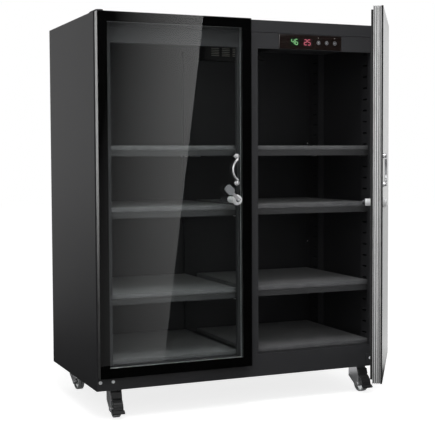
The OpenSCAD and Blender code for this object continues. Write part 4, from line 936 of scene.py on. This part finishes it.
def plain_math(tree, operation, first, second):
    """A Math node of two sockets, or of a socket and a number."""
    node = tree.nodes.new("ShaderNodeMath")
    node.operation = operation
    for i, value in enumerate((first, second)):
        if isinstance(value, (int, float)):
            node.inputs[i].default_value = value
        else:
            tree.links.new(value, node.inputs[i])
    return node.outputs[0]


def along(tree, vector, direction):
    """How far a vector reaches along a direction."""
    dot = tree.nodes.new("ShaderNodeVectorMath")
    dot.operation = "DOT_PRODUCT"
    tree.links.new(vector, dot.inputs[0])
    dot.inputs[1].default_value = direction
    return dot.outputs["Value"]


def ray_kinds(tree):
    """1 for rays that come straight from the camera or through glass, and 1 for mirrored ones."""
    path = tree.nodes.new("ShaderNodeLightPath")
    mirrored = plain_math(tree, "GREATER_THAN", path.outputs["Glossy Depth"], 0.5)
    seen = plain_math(tree, "MAXIMUM", path.outputs["Is Camera Ray"], path.outputs["Is Transmission Ray"])
    straight = plain_math(tree, "GREATER_THAN", plain_math(tree, "SUBTRACT", seen, mirrored), 0.5)
    shiny = plain_math(tree, "MAXIMUM", path.outputs["Is Glossy Ray"], path.outputs["Is Transmission Ray"])
    return straight, plain_math(tree, "MULTIPLY", mirrored, shiny)


def mix_numbers(tree, factor, first, second):
    """A number between two, each a socket or a number."""
    step = plain_math(tree, "MULTIPLY", factor, second)
    rest = plain_math(tree, "MULTIPLY", plain_math(tree, "SUBTRACT", 1.0, factor), first)
    return plain_math(tree, "ADD", step, rest)


def side_level(tree, direction):
    """How bright a mirror sees the room in a direction: pale on one side and dim in front of the object."""
    ramp = tree.nodes.new("ShaderNodeValToRGB")
    for position, _ in ROOM_STOPS[1:-1]:
        ramp.color_ramp.elements.new(position)
    for stop, (_, level) in zip(ramp.color_ramp.elements, ROOM_STOPS):
        stop.color = (level, level, level, 1)
    tree.links.new(along(tree, direction, WHITE_SIDE), ramp.inputs["Fac"])
    return ramp.outputs["Color"]


def add_stage(name, bm, material):
    """A piece of the studio, which is no part of the object."""
    piece = plain_object(name, bm)
    piece.data.materials.append(material)
    return piece


def make_floor():
    """A pale floor: grey to diffuse light, lifted to white for the eye, and like the room for mirrors."""
    grey = (FLOOR_GREY, FLOOR_GREY, FLOOR_GREY, 1)
    material, shader = new_shader("floor", Roughness=0.9, Base_Color=grey, Specular_IOR_Level=0.0,
                                  Emission_Color=(1, 1, 1, 1))
    tree = material.node_tree
    straight, mirrored = ray_kinds(tree)
    tree.links.new(plain_math(tree, "MULTIPLY", straight, FLOOR_LIFT), shader.inputs["Emission Strength"])
    place = tree.nodes.new("ShaderNodeNewGeometry")
    way = tree.nodes.new("ShaderNodeVectorMath")
    way.operation = "NORMALIZE"
    tree.links.new(place.outputs["Position"], way.inputs[0])
    room = tree.nodes.new("ShaderNodeEmission")
    level = plain_math(tree, "MULTIPLY", side_level(tree, way.outputs["Vector"]), FLOOR_MIRRORED)
    tree.links.new(level, room.inputs["Strength"])
    shade = tree.nodes.new("ShaderNodeMixShader")
    tree.links.new(mirrored, shade.inputs["Fac"])
    tree.links.new(shader.outputs["BSDF"], shade.inputs[1])
    tree.links.new(room.outputs["Emission"], shade.inputs[2])
    tree.links.new(shade.outputs["Shader"], tree.nodes["Material Output"].inputs["Surface"])
    bm = bmesh.new()
    bmesh.ops.create_circle(bm, cap_ends=True, segments=64, radius=FLOOR_R)
    add_stage("floor", bm, material)


def make_room():
    """White for the eye, plain grey light on the object, and for mirrors pale on one side only."""
    world = bpy.data.worlds.new("Room")
    world.use_nodes = True
    bpy.context.scene.world = world
    tree = world.node_tree
    place = tree.nodes.new("ShaderNodeTexCoord")
    straight, mirrored = ray_kinds(tree)
    level = mix_numbers(tree, mirrored, ROOM_LIGHT, side_level(tree, place.outputs["Generated"]))
    level = mix_numbers(tree, straight, level, 1.0)
    background = tree.nodes["Background"]
    background.inputs["Color"].default_value = (1, 1, 1, 1)
    tree.links.new(level, background.inputs["Strength"])


def mirrored_only(card):
    """Shows a card to mirror-like reflections and to nothing else."""
    card.visible_camera = False
    card.visible_diffuse = False
    card.visible_transmission = False
    card.visible_volume_scatter = False
    card.visible_shadow = False


def add_card(name, corners, material):
    """A four-cornered card of the studio that only mirrors see."""
    bm = bmesh.new()
    bm.faces.new([bm.verts.new(corner) for corner in corners])
    mirrored_only(add_stage(name, bm, material))


def card_material(name):
    """A glowing material and its Emission node."""
    material = bpy.data.materials.new(name)
    material.use_nodes = True
    tree = material.node_tree
    tree.nodes.remove(tree.nodes["Principled BSDF"])
    shine = tree.nodes.new("ShaderNodeEmission")
    tree.links.new(shine.outputs["Emission"], tree.nodes["Material Output"].inputs["Surface"])
    return material, shine


def make_cards():
    """A slanted pale card that the left glass mirrors, and the upright ones for the chrome."""
    material, shine = card_material("slanted_card")
    tree = material.node_tree
    place = tree.nodes.new("ShaderNodeNewGeometry")
    foot, head = Vector((CARD_FOOT[0], 0, CARD_FOOT[1])), Vector((CARD_HEAD[0], 0, CARD_HEAD[1]))
    edge = (head - foot).normalized()
    outward = Vector((edge.z, 0, -edge.x))
    fade = tree.nodes.new("ShaderNodeMapRange")
    fade.inputs["From Min"].default_value = outward.dot(foot) + CARD_LEFT
    fade.inputs["From Max"].default_value = outward.dot(foot)
    fade.inputs["To Min"].default_value = CARD_LEVELS[0]
    fade.inputs["To Max"].default_value = CARD_LEVELS[1]
    tree.links.new(along(tree, place.outputs["Position"], outward), fade.inputs["Value"])
    rise = tree.nodes.new("ShaderNodeMapRange")
    rise.inputs["From Min"].default_value = CARD_FOOT[1]
    rise.inputs["From Max"].default_value = CARD_HEAD[1]
    rise.inputs["To Min"].default_value = CARD_LOW_SHARE
    tree.links.new(along(tree, place.outputs["Position"], (0, 0, 1)), rise.inputs["Value"])
    level = plain_math(tree, "MULTIPLY", fade.outputs["Result"], rise.outputs["Result"])
    tree.links.new(level, shine.inputs["Strength"])
    corners = [(CARD_LEFT, CARD_FOOT[1]), CARD_FOOT, CARD_HEAD, (CARD_LEFT, CARD_HEAD[1])]
    add_card("slanted_card", [(x, CARD_Y, z) for x, z in corners], material)
    for name, (strength, start, end, low, high) in UPRIGHT_CARDS.items():
        material, shine = card_material(name)
        shine.inputs["Strength"].default_value = strength
        add_card(name, [(*start, low), (*end, low), (*end, high), (*start, high)], material)


def make_lamps():
    """Rectangular lamps that face their targets."""
    for name, (place, target, width, height, power) in LAMPS.items():
        data = bpy.data.lights.new(name, "AREA")
        data.shape = "RECTANGLE"
        data.size = width
        data.size_y = height
        data.energy = power
        lamp = bpy.data.objects.new(name, data)
        bpy.context.scene.collection.objects.link(lamp)
        lamp.location = place
        lamp.rotation_mode = "QUATERNION"
        lamp.rotation_quaternion = (Vector(target) - Vector(place)).to_track_quat("-Z", "Y")


make_camera()
dress_nodes()
for softened_name, softened_width in SOFTENED.items():
    softened(softened_name, softened_width * MM)
make_mats()
for door_side in ("left", "right"):
    make_frame(door_side)
    make_bushes(door_side)
make_posts()
make_key()
make_borders()
make_digits("humidity_digits", "46", "humidity_display", GREEN_LIT, "green_digits")
make_digits("temperature_digits", "25", "temperature_display", RED_LIT, "red_digits")
make_key_marks()
make_panel_lamps()
make_screws()
make_wheels()
make_floor()
make_room()
make_cards()
make_lamps()
bpy.context.scene.view_settings.view_transform = "Standard"
